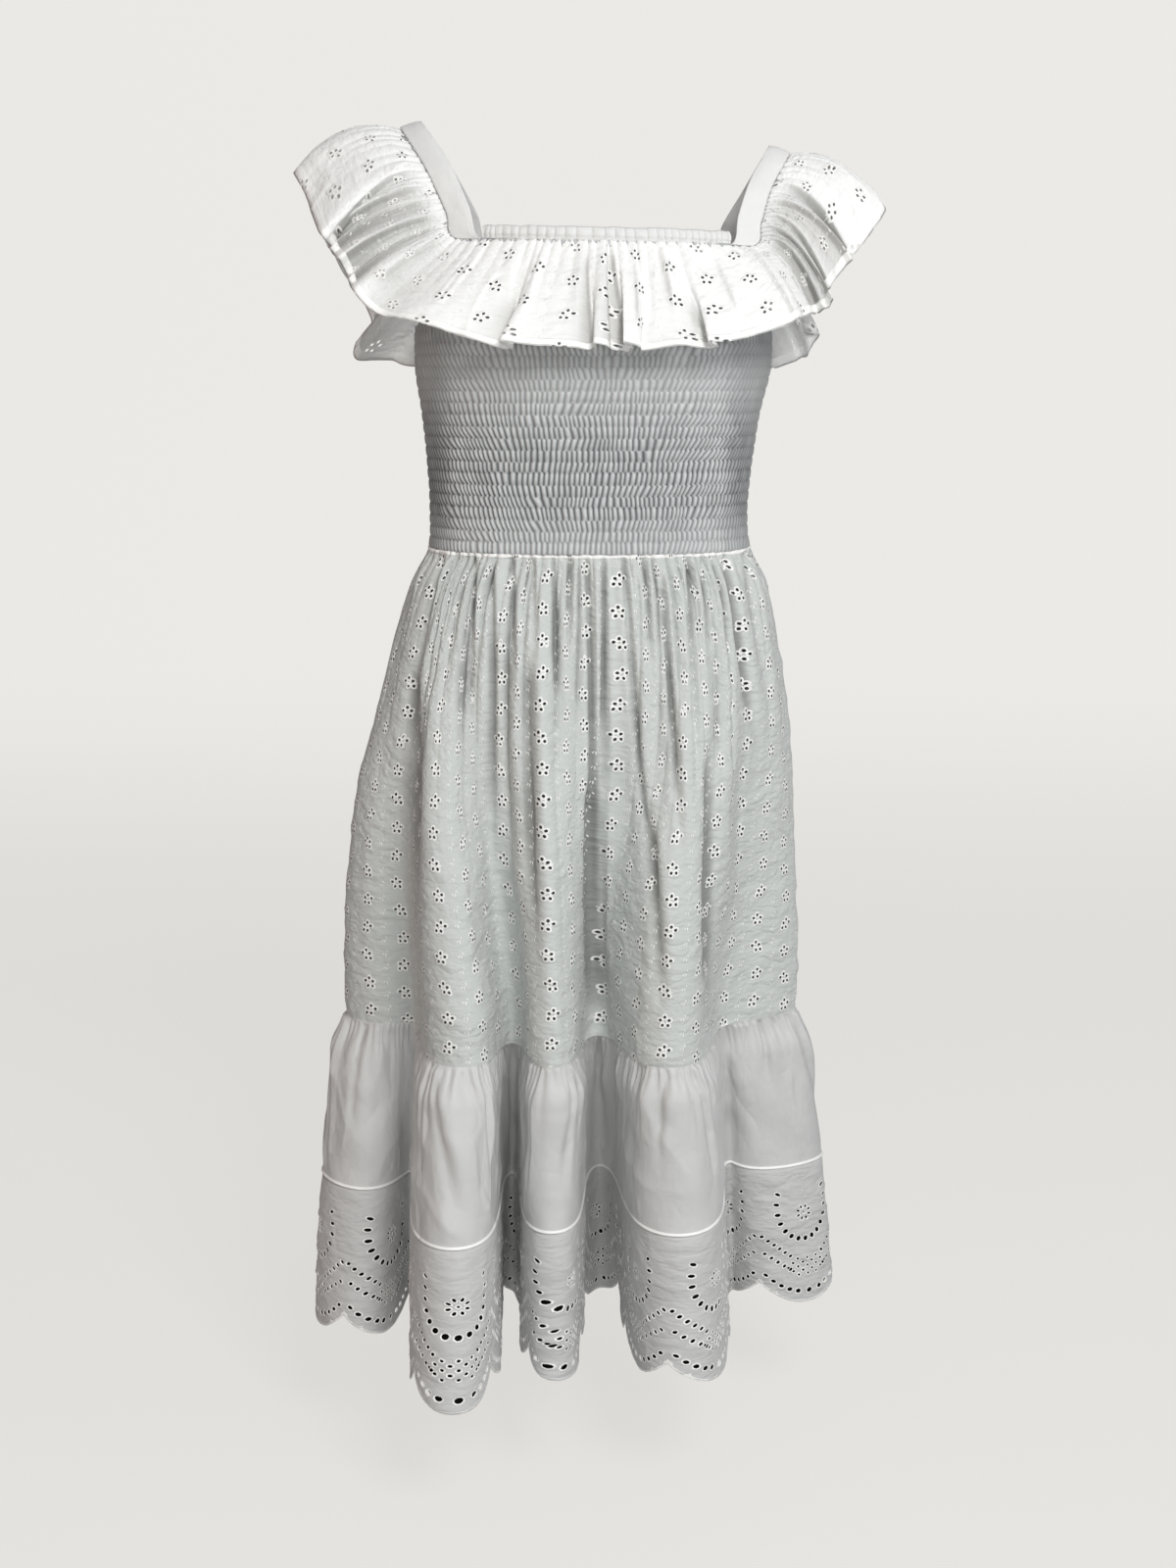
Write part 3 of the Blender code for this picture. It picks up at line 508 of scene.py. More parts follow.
def eyelet_group():
    """Embroidered flowers in repeat: five holes with raised rims on a circle, and stitched sprigs between."""
    sizes = {"Cloth": (0.0, 0.0, 0.0), "Repeat U": 0.036, "Repeat V": 0.0272, "Ring": 0.0042, "Hole": 0.00130}
    tree, g, given, out = new_group("eyelets", sizes, ["Hole", "Rim"])
    across, upward = g.node("ShaderNodeSeparateXYZ", {0: given["Cloth"]}).outputs[:2]
    half_u = g.times(given["Repeat U"], 0.5)
    half_v = g.times(given["Repeat V"], 0.5)
    file = g.math("FLOOR", g.math("DIVIDE", g.add(across, half_u), given["Repeat U"]))
    down = g.add(upward, g.times(file, g.times(given["Repeat V"], FILE_SHIFT)))
    row = g.math("FLOOR", g.math("DIVIDE", down, given["Repeat V"]))
    lean = g.times(g.math("SINE", g.times(g.add(row, file), 1.7)), SWAY)
    x = g.add(g.wrap(across, half_u), lean)
    y = g.wrap(down, half_v)
    sector = g.math("WRAP", g.math("ARCTAN2", x, y), np.pi / 5, -np.pi / 5)
    radius = g.length(x, y)
    out_x = g.minus(g.times(radius, g.math("COSINE", sector)), given["Ring"])
    out_y = g.times(radius, g.math("SINE", sector))
    to_hole = g.length(g.times(out_x, HOLE_NARROWING), out_y)
    hole = g.math("LESS_THAN", to_hole, given["Hole"])
    ring = g.math("ABSOLUTE", g.minus(to_hole, g.times(given["Hole"], RIM_PLACE)))
    rim = g.minus(1.0, g.ramp(ring, 0.0006, 0.0012))
    far_x = g.wrap(g.add(across, half_u), half_u)
    far_y = g.wrap(down, g.times(half_v, 0.5))
    sprig = None
    for leaf_x, leaf_y, slope in ((-0.0022, 0.0012, 0.8), (0.0022, 0.0006, -0.7), (0.0004, -0.0030, 0.1)):
        dx, dy = g.minus(far_x, leaf_x), g.minus(far_y, leaf_y)
        beside = g.math("DIVIDE", g.minus(dx, g.times(dy, slope)), 0.0008)
        along = g.math("DIVIDE", g.add(dy, g.times(dx, slope)), 0.0019)
        leaf = g.minus(1.0, g.ramp(g.length(beside, along), 0.7, 1.2))
        sprig = leaf if sprig is None else g.math("MAXIMUM", sprig, leaf)
    g.feed(out["Hole"], hole)
    g.feed(out["Rim"], g.math("MAXIMUM", rim, sprig))
    return tree


EYELETS = eyelet_group()


def principled(name, constants):
    """A material with constants on its shader's own sockets: the material, its graph and its shader."""
    material = bpy.data.materials.new(name)
    material.use_nodes = True
    shader = material.node_tree.nodes["Principled BSDF"]
    for label, value in constants.items():
        shader.inputs[label].default_value = value
    return material, Graph(material.node_tree), shader


def cotton(name, colour, deep, roughness=0.82, crumple=1.0, stretch=2.0, creases=0.0, eyelets=None):
    """White cotton: weave as bump, stitching paler and raised, holes by alpha, and painted shade: the deep
    colour blended in where a fold is hollow.
    """
    constants = {"Roughness": roughness, "Sheen Weight": 0.15, "Specular IOR Level": 0.25}
    material, g, shader = principled(name, constants)
    cloth = g.node("ShaderNodeUVMap", uv_map="cloth").outputs[0]
    inputs = {"Cloth": cloth, "Crumple": crumple, "Stretch": stretch, "Creases": creases}
    weave = g.node("ShaderNodeGroup", inputs, node_tree=WEAVE)
    mask = g.ramp(g.node("ShaderNodeAttribute", attribute_name="worked").outputs["Fac"], 0.02, 0.25)
    if eyelets is not None:
        holes = g.node("ShaderNodeGroup", {"Cloth": cloth, **eyelets}, node_tree=EYELETS)
        mask = g.math("MAXIMUM", mask, g.times(holes.outputs["Rim"], 0.8))
        g.feed(shader.inputs["Alpha"], g.minus(1.0, holes.outputs["Hole"]))
    height = g.math("MULTIPLY_ADD", mask, STITCH_HEIGHT, weave.outputs["Height"])
    # Painted shade: the colour goes towards the deep colour by the mark, in the hollows of folds
    hollow = g.node("ShaderNodeAttribute", attribute_name="hollow").outputs["Fac"]
    dimmed = g.blend(hollow, (*colour, 1.0), (*deep, 1.0))
    g.feed(shader.inputs["Base Color"], g.blend(mask, dimmed, STITCH))
    bump = g.node("ShaderNodeBump", {"Height": height, "Distance": 1.0, "Strength": 0.8})
    g.feed(shader.inputs["Normal"], bump.outputs[0])
    return material


# All six are the same white cotton. The ruffle's colour is near the cloth's own; the others are made darker
# as painted shade, the bodice, skirt, flounce and border most, and each deep colour is the painted shade in
# folds.
SHIRRED = cotton("shirred cotton", (0.63, 0.64, 0.645), (0.10, 0.105, 0.11), crumple=0.35)
RUFFLE_LAWN = cotton(
    "ruffle lawn", (0.90, 0.90, 0.89), (0.27, 0.265, 0.25), crumple=1.1, eyelets={"Repeat V": 0.034}
)
SKIRT_LAWN = cotton("skirt lawn", (0.57, 0.59, 0.575), (0.27, 0.275, 0.265), crumple=1.3, eyelets={})
BAND = cotton("band cotton", (0.76, 0.76, 0.75), (0.40, 0.395, 0.385), crumple=0.6, stretch=1.0, creases=0.3)
PLAIN = cotton(
    "plain cotton", (0.61, 0.61, 0.605), (0.30, 0.295, 0.285), 0.42, crumple=0.9, stretch=0.6, creases=1.3
)
CUTWORK = cotton("cutwork cotton", (0.58, 0.58, 0.575), (0.36, 0.36, 0.35), crumple=1.1)


# %% [markdown]
# ## The shirred bodice
# Rows of elastic thread draw the cloth in, so between two rows it puffs out and breaks into small
# upright puckers. They are real geometry here, since their shadows make the bodice read as shirring;
# a bump map alone would leave its outline smooth. Their valleys are also painted darker, a painted shade over
# the real one.

# %% the bodice
SHIRR_PITCH, SHIRR_ROWS, PUCKER_PITCH, PUCKER_DEPTH = 0.01025, 18, 0.0048, 0.0030
BUST_REACH, SIDE_PANEL, SIDE_BLEND = 0.045, 0.112, 0.024


def bodice_top(angle):
    """Height of the upper edge: level under the neckbands, scooped under the arms."""
    ring = body_ring(angle, np.full_like(angle, BAND_FOOT))
    in_front, on_left = ring[..., 1] < 0, ring[..., 0] < 0
    seam_x, neck = YOKE["seam_x"], SECTIONS[0]
    left = np.where(in_front, seam_x[FRONT_LEFT], seam_x[BACK_LEFT])
    right = np.where(in_front, seam_x[FRONT_RIGHT], seam_x[BACK_RIGHT])
    reach = np.where(on_left, ring[..., 0] / left, ring[..., 0] / right)
    full = np.where(on_left, -neck["left"] / left, neck["right"] / right)
    level = BAND_FOOT - NECK_TILT * ring[..., 0]
    return level + smooth_step((reach - 1.0) / (full - 1.0)) * (UNDERARM - level)


def bodice_half(name, first, last, columns_across, rows_a_band):
    """Body sections pushed out by |sin|^0.45 between rows, times a pucker that is flatter over the bust, with
    painted shade in the pucker valleys and along the rows.
    """
    angles = np.linspace(-90.0, 270.0, 3601)
    ring = body_ring(angles, np.full_like(angles, WAIST))
    length = run_length(ring)
    girth = np.interp([first, last], angles, length)
    along = np.linspace(girth[0], girth[1], columns_across + 1)
    angle = np.interp(along, length, angles)
    top = bodice_top(angle)
    plain_rows = 12
    bands = np.linspace(SHIRR_ROWS, 0, SHIRR_ROWS * rows_a_band + 1)[:, None] * np.ones_like(angle)
    shirr_top = WAIST + SHIRR_ROWS * SHIRR_PITCH
    above = np.linspace(0, 1, plain_rows + 1)[:-1, None]
    upper_z = top + (shirr_top - top) * above
    z = np.concatenate([upper_z, WAIST + bands * SHIRR_PITCH])
    band = (z - WAIST) / SHIRR_PITCH
    row = np.floor(band)
    spread = np.broadcast_to(angle, z.shape)
    u = np.broadcast_to(along, z.shape)
    ring = body_ring(spread, z)
    slant = -7.5 * ring[..., 0] + 0.7 * uneven(u, row, 0.05, 1.0, 6)
    shift = uneven(row * 1.7, 0.0, 1.0, 1.0, 5) * 1.1 + slant * (band - row)
    wander = 0.9 * uneven(u, row, 0.030, 0.6, 7) + 0.25 * uneven(u, row, 0.011, 0.6, 8)
    phase = u / PUCKER_PITCH + shift + wander
    pucker = np.abs(np.sin(np.pi * phase)) ** 0.9 * (0.85 + 0.15 * uneven(u, row, 0.009, 0.6, 9))
    taut = bell((z - BUST) / BUST_REACH)
    aside = smooth_step((np.abs(ring[..., 0]) - SIDE_PANEL) / SIDE_BLEND)
    # Painted shade: darker colour in the valleys between puckers, less on the side panels
    hollow = hollowed(pucker * (1 - 0.40 * aside), 0.08, 0.95)
    pucker = pucker * (1 - 0.7 * aside) * (1 - 0.35 * taut)
    between = 0.30 + 0.70 * np.abs(np.sin(np.pi * band)) ** 0.45
    height = between * (0.0006 + PUCKER_DEPTH * pucker) - 0.0002
    height += 0.0004 * uneven(u, z, 0.03, 0.02, 10)
    points = raised(body_ring, spread, z, height, ANGLE_STEP)
    cloth = np.stack([u * 2.0, z], axis=-1)
    slack = smooth_step((WAIST + 0.045 - z) / 0.04)
    # Painted shade also along the shirring rows, weaker over the bust and just above the waist
    hollow = (0.95 * hollow + 0.20 * (1 - between)) * (1 - 0.50 * taut) * (1 - 0.35 * slack)
    return grid_object(name, points, cloth, SHIRRED, hollow=hollow, worked=0.0)


bodice_front = bodice_half("shirred_front", -90.0, 90.0, 580, 6)
bodice_back = bodice_half("shirred_back", 90.0, 270.0, 330, 4)
print("bodice:", len(bodice_front.data.polygons), "faces a side")

# %% [markdown]
# ## Neckband and straps
# The neckline is an elastic casing, a narrow tube gathered on its elastic. The straps are plain bands
# folded double. Both are bent strips, so each is a grid between the neckline and the ruffle's seam.


# %% the yoke's curves
CASING_RADIUS, CASING_GATHERS = 0.13, 0.0062
STRAP_LENGTH, STRAP_WIDTH, STRAP_SEAM = 0.21, 0.022, 0.0022


def off_bodice(points, lift):
    """Points moved in plan to stand off the bodice's middle surface by the lift."""
    x, y, z = np.moveaxis(points, -1, 0)
    left, right, front, back = reaches(z)
    across = (np.abs(x) / np.where(x > 0, right, left)) ** (1 / SQUARENESS)
    ahead = (np.abs(y) / np.where(y < 0, front, back)) ** (1 / SQUARENESS)
    angle = np.degrees(np.arctan2(np.sign(x) * across, -np.sign(y) * ahead))
    return raised(body_ring, angle, z, lift, ANGLE_STEP)


def yoke_loop(at):
    """Neckline, ruffle seam and ruffle edge at places from 0 to the number of rows, on closed curves."""
    count = len(YOKE)
    reach = np.arange(-YOKE_OVERRUN, count + YOKE_OVERRUN + 1)
    line = eased(reach.astype(float), columns(YOKE, " ".join(YOKE.dtype.names))[reach % count], at)
    neck, seam, edge = line[:, 0:3], line[:, 3:6], line[:, 6:9]
    place = at % count
    in_front = (place > FRONT_LEFT) | (place < FRONT_RIGHT)
    front_run = np.minimum((place - FRONT_LEFT) % count, (FRONT_RIGHT - place) % count)
    from_straps = np.where(in_front, front_run, np.minimum(place - BACK_RIGHT, BACK_LEFT - place))
    on_bodice = smooth_step(1 + from_straps / YOKE_EASE)[:, None]
    return neck, seam * (1 - on_bodice) + off_bodice(seam, RUFFLE_LIFT) * on_bodice, edge


def neckband(name, first, last):
    """The casing: the body's section, swelled by a half sine across and by fine gathers along."""
    count, rows = 420, 10
    angle = np.linspace(first, last, count + 1)
    across = np.linspace(0, 1, rows + 1)[:, None]
    level = NECK_TOP + (BAND_FOOT - NECK_TOP) * across + 0 * angle
    spread = np.broadcast_to(angle, level.shape)
    u = np.radians(spread) * CASING_RADIUS
    level = level + 0.0006 * (1 - across) * uneven(u, 0, 0.006, 1, 31)
    z = level - NECK_TILT * body_ring(spread, level)[..., 0]
    ruched = gathers(u, z, CASING_GATHERS, 32, 0.8)
    bulge = np.sin(np.pi * across) ** 0.7 * (0.0012 + 0.0016 * ruched)
    pinched = -0.0010 * bell((across - 0.78) / 0.09)
    points = raised(body_ring, spread, z, bulge + pinched, ANGLE_STEP)
    cloth = np.stack([u * 2, z], axis=-1)
    # Painted shade between the gathers, at 0.4 strength
    band = grid_object(name, points, cloth, BAND, hollow=0.4 * hollowed(ruched, 0.0, 0.5), worked=0.0)
    thicken(band, CASING_WALL)
    return band


def strap(name, first, last):
    """A plain band over one shoulder, crowned across its width, with a groove beside the neckline."""
    count, rows = 160, 12
    neck, seam, _ = yoke_loop(np.linspace(first, last, count + 1))
    share = np.linspace(0, 1, rows + 1)[:, None, None]
    width = np.linalg.norm(seam - neck, axis=-1, keepdims=True)
    grid = neck + (seam - neck) * share * (1 - STRAP_SEAM / width)
    crown = share[..., 0] * (1 - share[..., 0]) * 4
    u = np.linspace(0, STRAP_LENGTH, count + 1)[None, :] + 0 * crown
    v = share[..., 0] * STRAP_WIDTH + 0 * u
    edge_roll = -0.0006 * bell((v - STRAP_SEAM) / 0.0006)
    height = 0.0008 * crown + edge_roll + 0.0007 * uneven(u, v, 0.016, 0.03, 41) * crown
    grid = grid + surface_normals(grid) * height[..., None]
    band = grid_object(name, grid, np.stack([u, v], axis=-1), BAND, hollow=0.0, worked=0.0)
    thicken(band, STRAP_WALL)
    return band


# %% neckband and straps
neckband_front = neckband("casing_front", -34.0, 47.6)
neckband_back = neckband("casing_back", 136.7, 214.9)
strap_right = strap("band_right", FRONT_RIGHT, BACK_RIGHT)
strap_left = strap("band_left", BACK_LEFT, FRONT_LEFT)

# %% [markdown]
# ## The eyelet ruffle
# One long strip of eyelet lawn is gathered into the yoke all round. Its large pleats are placed one by one
# from the photo on the front and shoulders and alike on the back, and small gathers run from the
# seam. Each pleat is pushed out and leaned sideways, so that a strong lean folds the cloth over itself.
# A knife pleat is a sharp step that runs back to nothing, with a thin cast shadow painted beside it.

# %% the ruffle
# Pleats: place on the yoke, half width in metres at the edge, push out and sideways lean at the edge,
# and how far from the seam it starts
PLEATS = table(
    "at half push lean start",
    """
17.05 0.022 -0.008 0 0
17.55 0.03 0.006 0.004 0.2
18.06 0.008 -0.01 0.017 0.4
18.24 0.009 0.006 -0.01 0.4
18.5 0.028 0.004 0 0
18.78 0.008 -0.009 0.012 0.1
18.95 0.009 0.005 -0.004 0
0.08 0.008 -0.01 0.016 0.1
0.22 0.01 0.007 -0.008 0.1
0.48 0.009 -0.007 -0.012 0.45
0.7 0.016 0.004 0 0.1
0.9 0.008 -0.01 0.018 0.4
1.08 0.01 0.006 -0.01 0.4
1.5 0.034 0.005 0 0
1.95 0.012 -0.007 -0.006 0.2
2.3 0.014 -0.01 -0.008 0
2.75 0.012 0.009 -0.008 0
3.15 0.01 -0.011 -0.01 0
3.6 0.014 0.009 -0.006 0
4.05 0.012 -0.013 -0.012 0
4.7 0.024 0.008 0 0
5.35 0.014 -0.01 0.008 0
5.8 0.014 0.009 0.006 0
6.25 0.01 -0.011 0.01 0
6.75 0.014 0.009 0.004 0
7.25 0.01 -0.012 0.01 0
7.8 0.014 0.01 0.006 0
8.3 0.012 -0.011 0 0
8.75 0.014 0.01 -0.008 0.1
9.1 0.012 -0.012 0.01 0
9.45 0.014 0.009 0.002 0
9.78 0.01 -0.01 -0.01 0.1
10.1 0.016 0.01 0.004 0
10.45 0.01 -0.012 0.01 0
10.8 0.014 0.009 -0.006 0
11.2 0.012 -0.011 0.006 0
11.7 0.014 0.009 0.008 0
12.2 0.01 -0.012 -0.01 0
12.7 0.014 0.01 -0.006 0
13.25 0.012 -0.01 -0.008 0
14.1 0.028 0.007 0.004 0
15 0.013 0.004 0.024 0
15.3 0.016 -0.014 0 0
15.4 0.012 0.01 -0.01 0
15.7 0.009 -0.012 -0.012 0
16 0.012 0.009 -0.008 0
16.3 0.009 -0.012 -0.01 0
16.65 0.014 0.009 -0.004 0
""",
)
# Knife pleats: place on the yoke, height of the step, how far it runs back, where it starts and ends
STEPS = table(
    "at height run start end",
    """
15.14 0.01 -0.06 0 1.3
15.5 0.008 -0.016 0 1.3
15.8 0.009 -0.014 0 1.3
16.1 0.009 -0.014 0 1.3
16.42 0.008 -0.016 0 1.3
16.8 0.006 -0.018 0 0.9
17.45 0.003 -0.016 0.1 0.8
18.04 0.006 0.02 0.45 1.3
18.76 0.007 0.022 0 1.3
0.06 0.009 0.03 0 1.3
0.34 0.004 0.014 0.1 0.9
1.3 0.004 0.02 0.05 0.8
1.72 0.004 0.018 0 1.3
0.7 0.005 0.02 0 0.7
0.88 0.006 0.02 0.45 1.3
2.35 0.007 0.018 0 1.3
2.75 0.008 0.016 0 1.3
3.15 0.008 0.016 0 1.3
3.6 0.008 0.016 0 1.3
4.1 0.01 0.022 0 1.3
4.6 0.005 0.02 0 0.7
6.1 0.006 0.018 0 1.3
7 0.006 0.018 0 1.3
8.6 0.006 0.02 0 1.3
9.5 0.006 -0.02 0 1.3
10.3 0.006 0.02 0 1.3
11.4 0.006 0.018 0 1.3
12.5 0.006 -0.018 0 1.3
13.2 0.006 -0.018 0 1.3
""",
)
RUFFLE_COLUMNS, RUFFLE_ROWS, RUFFLE_WIDTH, RUFFLE_DEPTH, STEP_EDGE = 1400, 28, 1.80, 0.105, 0.0010


def from_place(at, place):
    """Signed distance along the closed yoke from a place on it, in rows."""
    return (at - place + len(YOKE) / 2) % len(YOKE) - len(YOKE) / 2


def ruffle_points():
    """From the seam out to the edge, arched over the shoulders, pushed and leaned by each pleat's bell, with
    painted shade in its hollows and a painted cast shadow beside each knife pleat.
    """
    at = np.arange(RUFFLE_COLUMNS) / RUFFLE_COLUMNS * len(YOKE)
    _, seam, edge = yoke_loop(at)
    down = np.linspace(-0.03, 1, RUFFLE_ROWS + 1)[:, None, None]
    grid = seam + (edge - seam) * down
    over_shoulder = smooth_step((np.abs(seam[:, 0]) - ARCH_STARTS) / ARCH_REACH)[:, None]
    grid[..., 2:] += RUFFLE_ARCH * 4 * down * (1 - down) * over_shoulder
    wrapped = np.concatenate([grid[:, -1:], grid, grid[:, :1]], axis=1)
    normal = surface_normals(wrapped)[:, 1:-1]
    step = np.gradient(wrapped, axis=1)[:, 1:-1]
    pace = np.linalg.norm(step, axis=-1, keepdims=True)
    along = step / pace
    edge_pace = pace[-1, :, 0] * RUFFLE_COLUMNS / len(YOKE)
    push, lean, shade = np.zeros((3, *grid.shape[:2]))
    depth = np.clip(down[..., 0], 0, 1)
    for row in PLEATS:
        swell = bell(from_place(at, row["at"]) * edge_pace / row["half"])
        grown = smooth_step((depth - row["start"]) / (1.0 - row["start"])) * 0.35 + 0.65 * depth
        push = push + row["push"] * swell * grown
        lean = lean + row["lean"] * swell * grown**1.3
    for row in STEPS:
        off = from_place(at, row["at"]) * edge_pace * (0.35 + 0.65 * depth)
        behind = off * np.sign(row["run"])
        fall = np.exp(-np.maximum(behind, 0) / np.abs(row["run"]) * 1.6)
        step = smooth_step(0.5 + behind / STEP_EDGE / 2) * fall
        ends = smooth_step((depth - row["start"]) / 0.25) * smooth_step((row["end"] - depth) / 0.25)
        grown = ends * (0.4 + 0.6 * depth)
        push = push + row["height"] * (step - 0.15) * grown * bell(off / 0.09)
        # Painted shadow: each knife pleat's cast shade, full just past its edge and fading across the low
        # side
        past = behind - STEP_EDGE
        cast = np.where(past < 0, -past / (0.9 * row["height"]), past / 0.0004)
        shade = shade + 88 * row["height"] * grown * np.exp(-cast)
    u = at / len(YOKE) * RUFFLE_WIDTH + 0 * depth
    v = -depth * RUFFLE_DEPTH + 0 * at
    small = gathers(u, v, 0.0125, 51) - 0.6
    fade = bell(depth / 0.42)
    push = push + 0.0022 * small * (0.15 + 0.85 * fade) + 0.0014 * uneven(u, v, 0.03, 0.03, 52) * depth
    push = push + 0.0014 * crumpled(u, v, 0.022, 0.060, 54) * smooth_step(depth / 0.2)
    rise = 0.004 * uneven(u, v, 0.07, 0.5, 53) * depth**2
    points = grid + normal * push[..., None] + along * lean[..., None]
    points[..., 2] += rise
    # The third value is painted shade: 0.35 of the pleats' hollows plus the knife pleats' painted shadow
    return points, np.stack([u, v], axis=-1), np.clip(0.35 * hollowed(push, *RUFFLE_SHADE_SPAN) + shade, 0, 1)


def closed_ring(points, cloth, hollow):
    """The first column again at the end, one flat width further on, so that the flat map has no jump."""
    last = cloth[:, :1] + np.array([RUFFLE_WIDTH, 0.0])
    joined = [np.concatenate([part, part[:, :1]], axis=1) for part in (points, hollow)]
    return joined[0], np.concatenate([cloth, last], axis=1), joined[1]


ruffle_form, ruffle_cloth, ruffle_hollow = closed_ring(*ruffle_points())
hem_stitch = bell((ruffle_cloth[..., 1] + RUFFLE_DEPTH - 0.004) / 0.0011)
marks = {"hollow": ruffle_hollow, "worked": 0.8 * hem_stitch}
ruffle = grid_object("ruffle", ruffle_form, ruffle_cloth, RUFFLE_LAWN, **marks)
thicken(ruffle, RUFFLE_WALL)

# %% [markdown]
# ## The gathered skirt
# The skirt is a straight panel gathered to half its width at the waist. Short gathers at the seam merge
# two by two into broader folds on the way down, so three widths of gather fade in and out in turn.


# %% a tier of the skirt
def tier_half(name, span, columns_across, surface, ring, heights, relief, material):
    """A tier between the side seams: a surface of turn and height, with a relief along its normal and painted
    shade where the relief sinks.
    """
    shares, ring_length = ring
    first, last = np.interp(turn_at(np.array(span)), TURNS, shares)
    share = np.linspace(first, last, columns_across + 1)
    turn = np.interp(share, shares, TURNS)
    z = np.asarray(heights)[:, None] + 0 * turn
    spread = np.broadcast_to(turn, z.shape)
    u = np.broadcast_to(share * ring_length, z.shape)
    height, worked = relief(u, z, surface(spread, z))
    height = height * smooth_step(np.minimum(u, ring_length - u) / SEAM_FADE)
    points = raised(surface, spread, z, height)
    # Painted shade: darker colour where the relief sinks into a fold
    hollow = hollowed(height, *TIER_SHADE_SPAN)
    return grid_object(name, points, np.stack([u, z], axis=-1), material, hollow=hollow, worked=worked)


# Creases of the skirt, in x and z as seen from the front: where each starts and ends
SKIRT_FRONT_TROUGHS = table(
    "from_u from_v to_u to_v depth width bow",
    """
-0.146 -0.35 -0.196 -0.56 0.005 0.0035 0.002
-0.124 -0.35 -0.168 -0.56 0.006 0.0035 0.003
-0.155 -0.47 -0.16 -0.76 0.01 0.009 0
-0.101 -0.355 -0.104 -0.58 0.006 0.0028 0.001
-0.086 -0.365 -0.09 -0.69 0.008 0.0034 -0.002
-0.0676 -0.352 -0.064 -0.52 0.005 0.0026 0.001
-0.053 -0.45 -0.045 -0.8 0.015 0.007 0.002
0.005 -0.57 0.011 -0.85 0.014 0.007 0.001
0.056 -0.6 0.066 -0.8 0.008 0.005 0
0.108 -0.53 0.116 -0.85 0.012 0.006 0
-0.049 -0.352 -0.0478 -0.48 0.005 0.0024 0
-0.0322 -0.356 -0.0265 -0.52 0.005 0.0022 0
-0.014 -0.352 -0.0165 -0.475 0.005 0.0024 0.001
-0.0028 -0.352 0.006 -0.7 0.009 0.0032 -0.003
0.0135 -0.356 0.0152 -0.64 0.008 0.0026 0
0.03 -0.352 0.06 -0.72 0.009 0.0032 0.001
0.0485 -0.352 0.059 -0.51 0.005 0.0024 0
0.064 -0.375 0.084 -0.66 0.008 0.0028 -0.001
0.09 -0.352 0.099 -0.64 0.007 0.0028 0
0.1 -0.35 0.113 -0.52 0.005 0.0026 0
0.12 -0.35 0.162 -0.58 0.007 0.003 0.001
0.14 -0.35 0.172 -0.54 0.005 0.0028 0.002
""",
)
SKIRT_BACK_TROUGHS = table(
    "from_u from_v to_u to_v depth width bow",
    """
0.136 -0.352 0.17 -0.56 0.006 0.0034 0.002
0.112 -0.35 0.128 -0.64 0.008 0.0032 0.001
0.094 -0.354 0.101 -0.5 0.005 0.0026 0
0.077 -0.352 0.088 -0.69 0.009 0.0034 -0.002
0.055 -0.35 0.058 -0.52 0.005 0.0026 0.001
0.038 -0.356 0.03 -0.7 0.008 0.003 0
0.016 -0.352 0.014 -0.54 0.006 0.0026 0.001
-0.006 -0.35 -0.018 -0.72 0.009 0.0034 0.002
-0.027 -0.354 -0.03 -0.5 0.005 0.0024 0
-0.047 -0.352 -0.062 -0.66 0.008 0.003 -0.001
-0.071 -0.35 -0.078 -0.54 0.005 0.0026 0
-0.09 -0.352 -0.112 -0.68 0.008 0.0032 0.002
-0.118 -0.35 -0.148 -0.56 0.006 0.003 0.001
""",
)


def skirt_relief(u, v, place):
    """Gathers 23.5, 38 and 90 mm apart that give way to each other, listed creases and a welt."""
    drop = WAIST - v
    fine_pitch, middle_pitch, broad_pitch = 0.0235, 0.038, 0.090
    fine = (gathers(u, v, fine_pitch, 61, 0.45) - 0.65) * (1 - smooth_step(drop / 0.11))
    fine = fine * (0.45 + 0.55 * smooth_step(drop / 0.015))
    middle = (gathers(u, v, middle_pitch, 62, 0.7) - 0.6) * smooth_step(drop / 0.045)
    middle = middle * (1 - smooth_step((drop - 0.05) / 0.26))
    broad = (gathers(u, v, broad_pitch, 63, 1.0) - 0.6) * smooth_step((drop - 0.03) / 0.10)
    broad = broad * (1 - 0.75 * smooth_step((drop - 0.12) / 0.30))
    foot = v - FLOUNCE_TOP
    tucked = (gathers(u, v, 0.016, 64) - 0.5) * bell(foot / 0.014)
    crumple = uneven(u, v, 0.028, 0.012, 65) * 0.0008 + uneven(u, v, 0.05, 0.06, 66) * 0.0014
    welt = bell((drop - 0.0012) / 0.0012)
    ahead = 1 - 0.6 * smooth_step((np.abs(place[..., 0]) - 0.105) / 0.05)
    height = (0.0095 * fine + 0.0080 * middle + 0.0080 * broad) * ahead
    height = height + 0.0016 * tucked + crumple + 0.0016 * welt
    rows = SKIRT_FRONT_TROUGHS if place[..., 1].mean() < 0 else SKIRT_BACK_TROUGHS
    from_sides = np.minimum(u - u.min(), u.max() - u)
    shown = smooth_step(drop / 0.008) * smooth_step(from_sides / 0.030)
    height = height + troughs(place[..., 0], v, rows) * shown
    height = height + 0.0009 * crumpled(u, v, 0.030, 0.011, 67) * smooth_step((drop - 0.06) / 0.10)
    return np.maximum(height, -0.0150) * smooth_step(foot / 0.007), np.clip(welt * 1.2, 0, 1)


def spaced(top, bottom, count, near_top, near_bottom):
    """Heights from top to bottom, closer together near each end by the amounts given."""
    t = np.linspace(0, 1, count)
    dense = t - np.where(t < 0.5, near_top, near_bottom) * np.sin(2 * np.pi * t) / (2 * np.pi)
    return top + (bottom - top) * dense


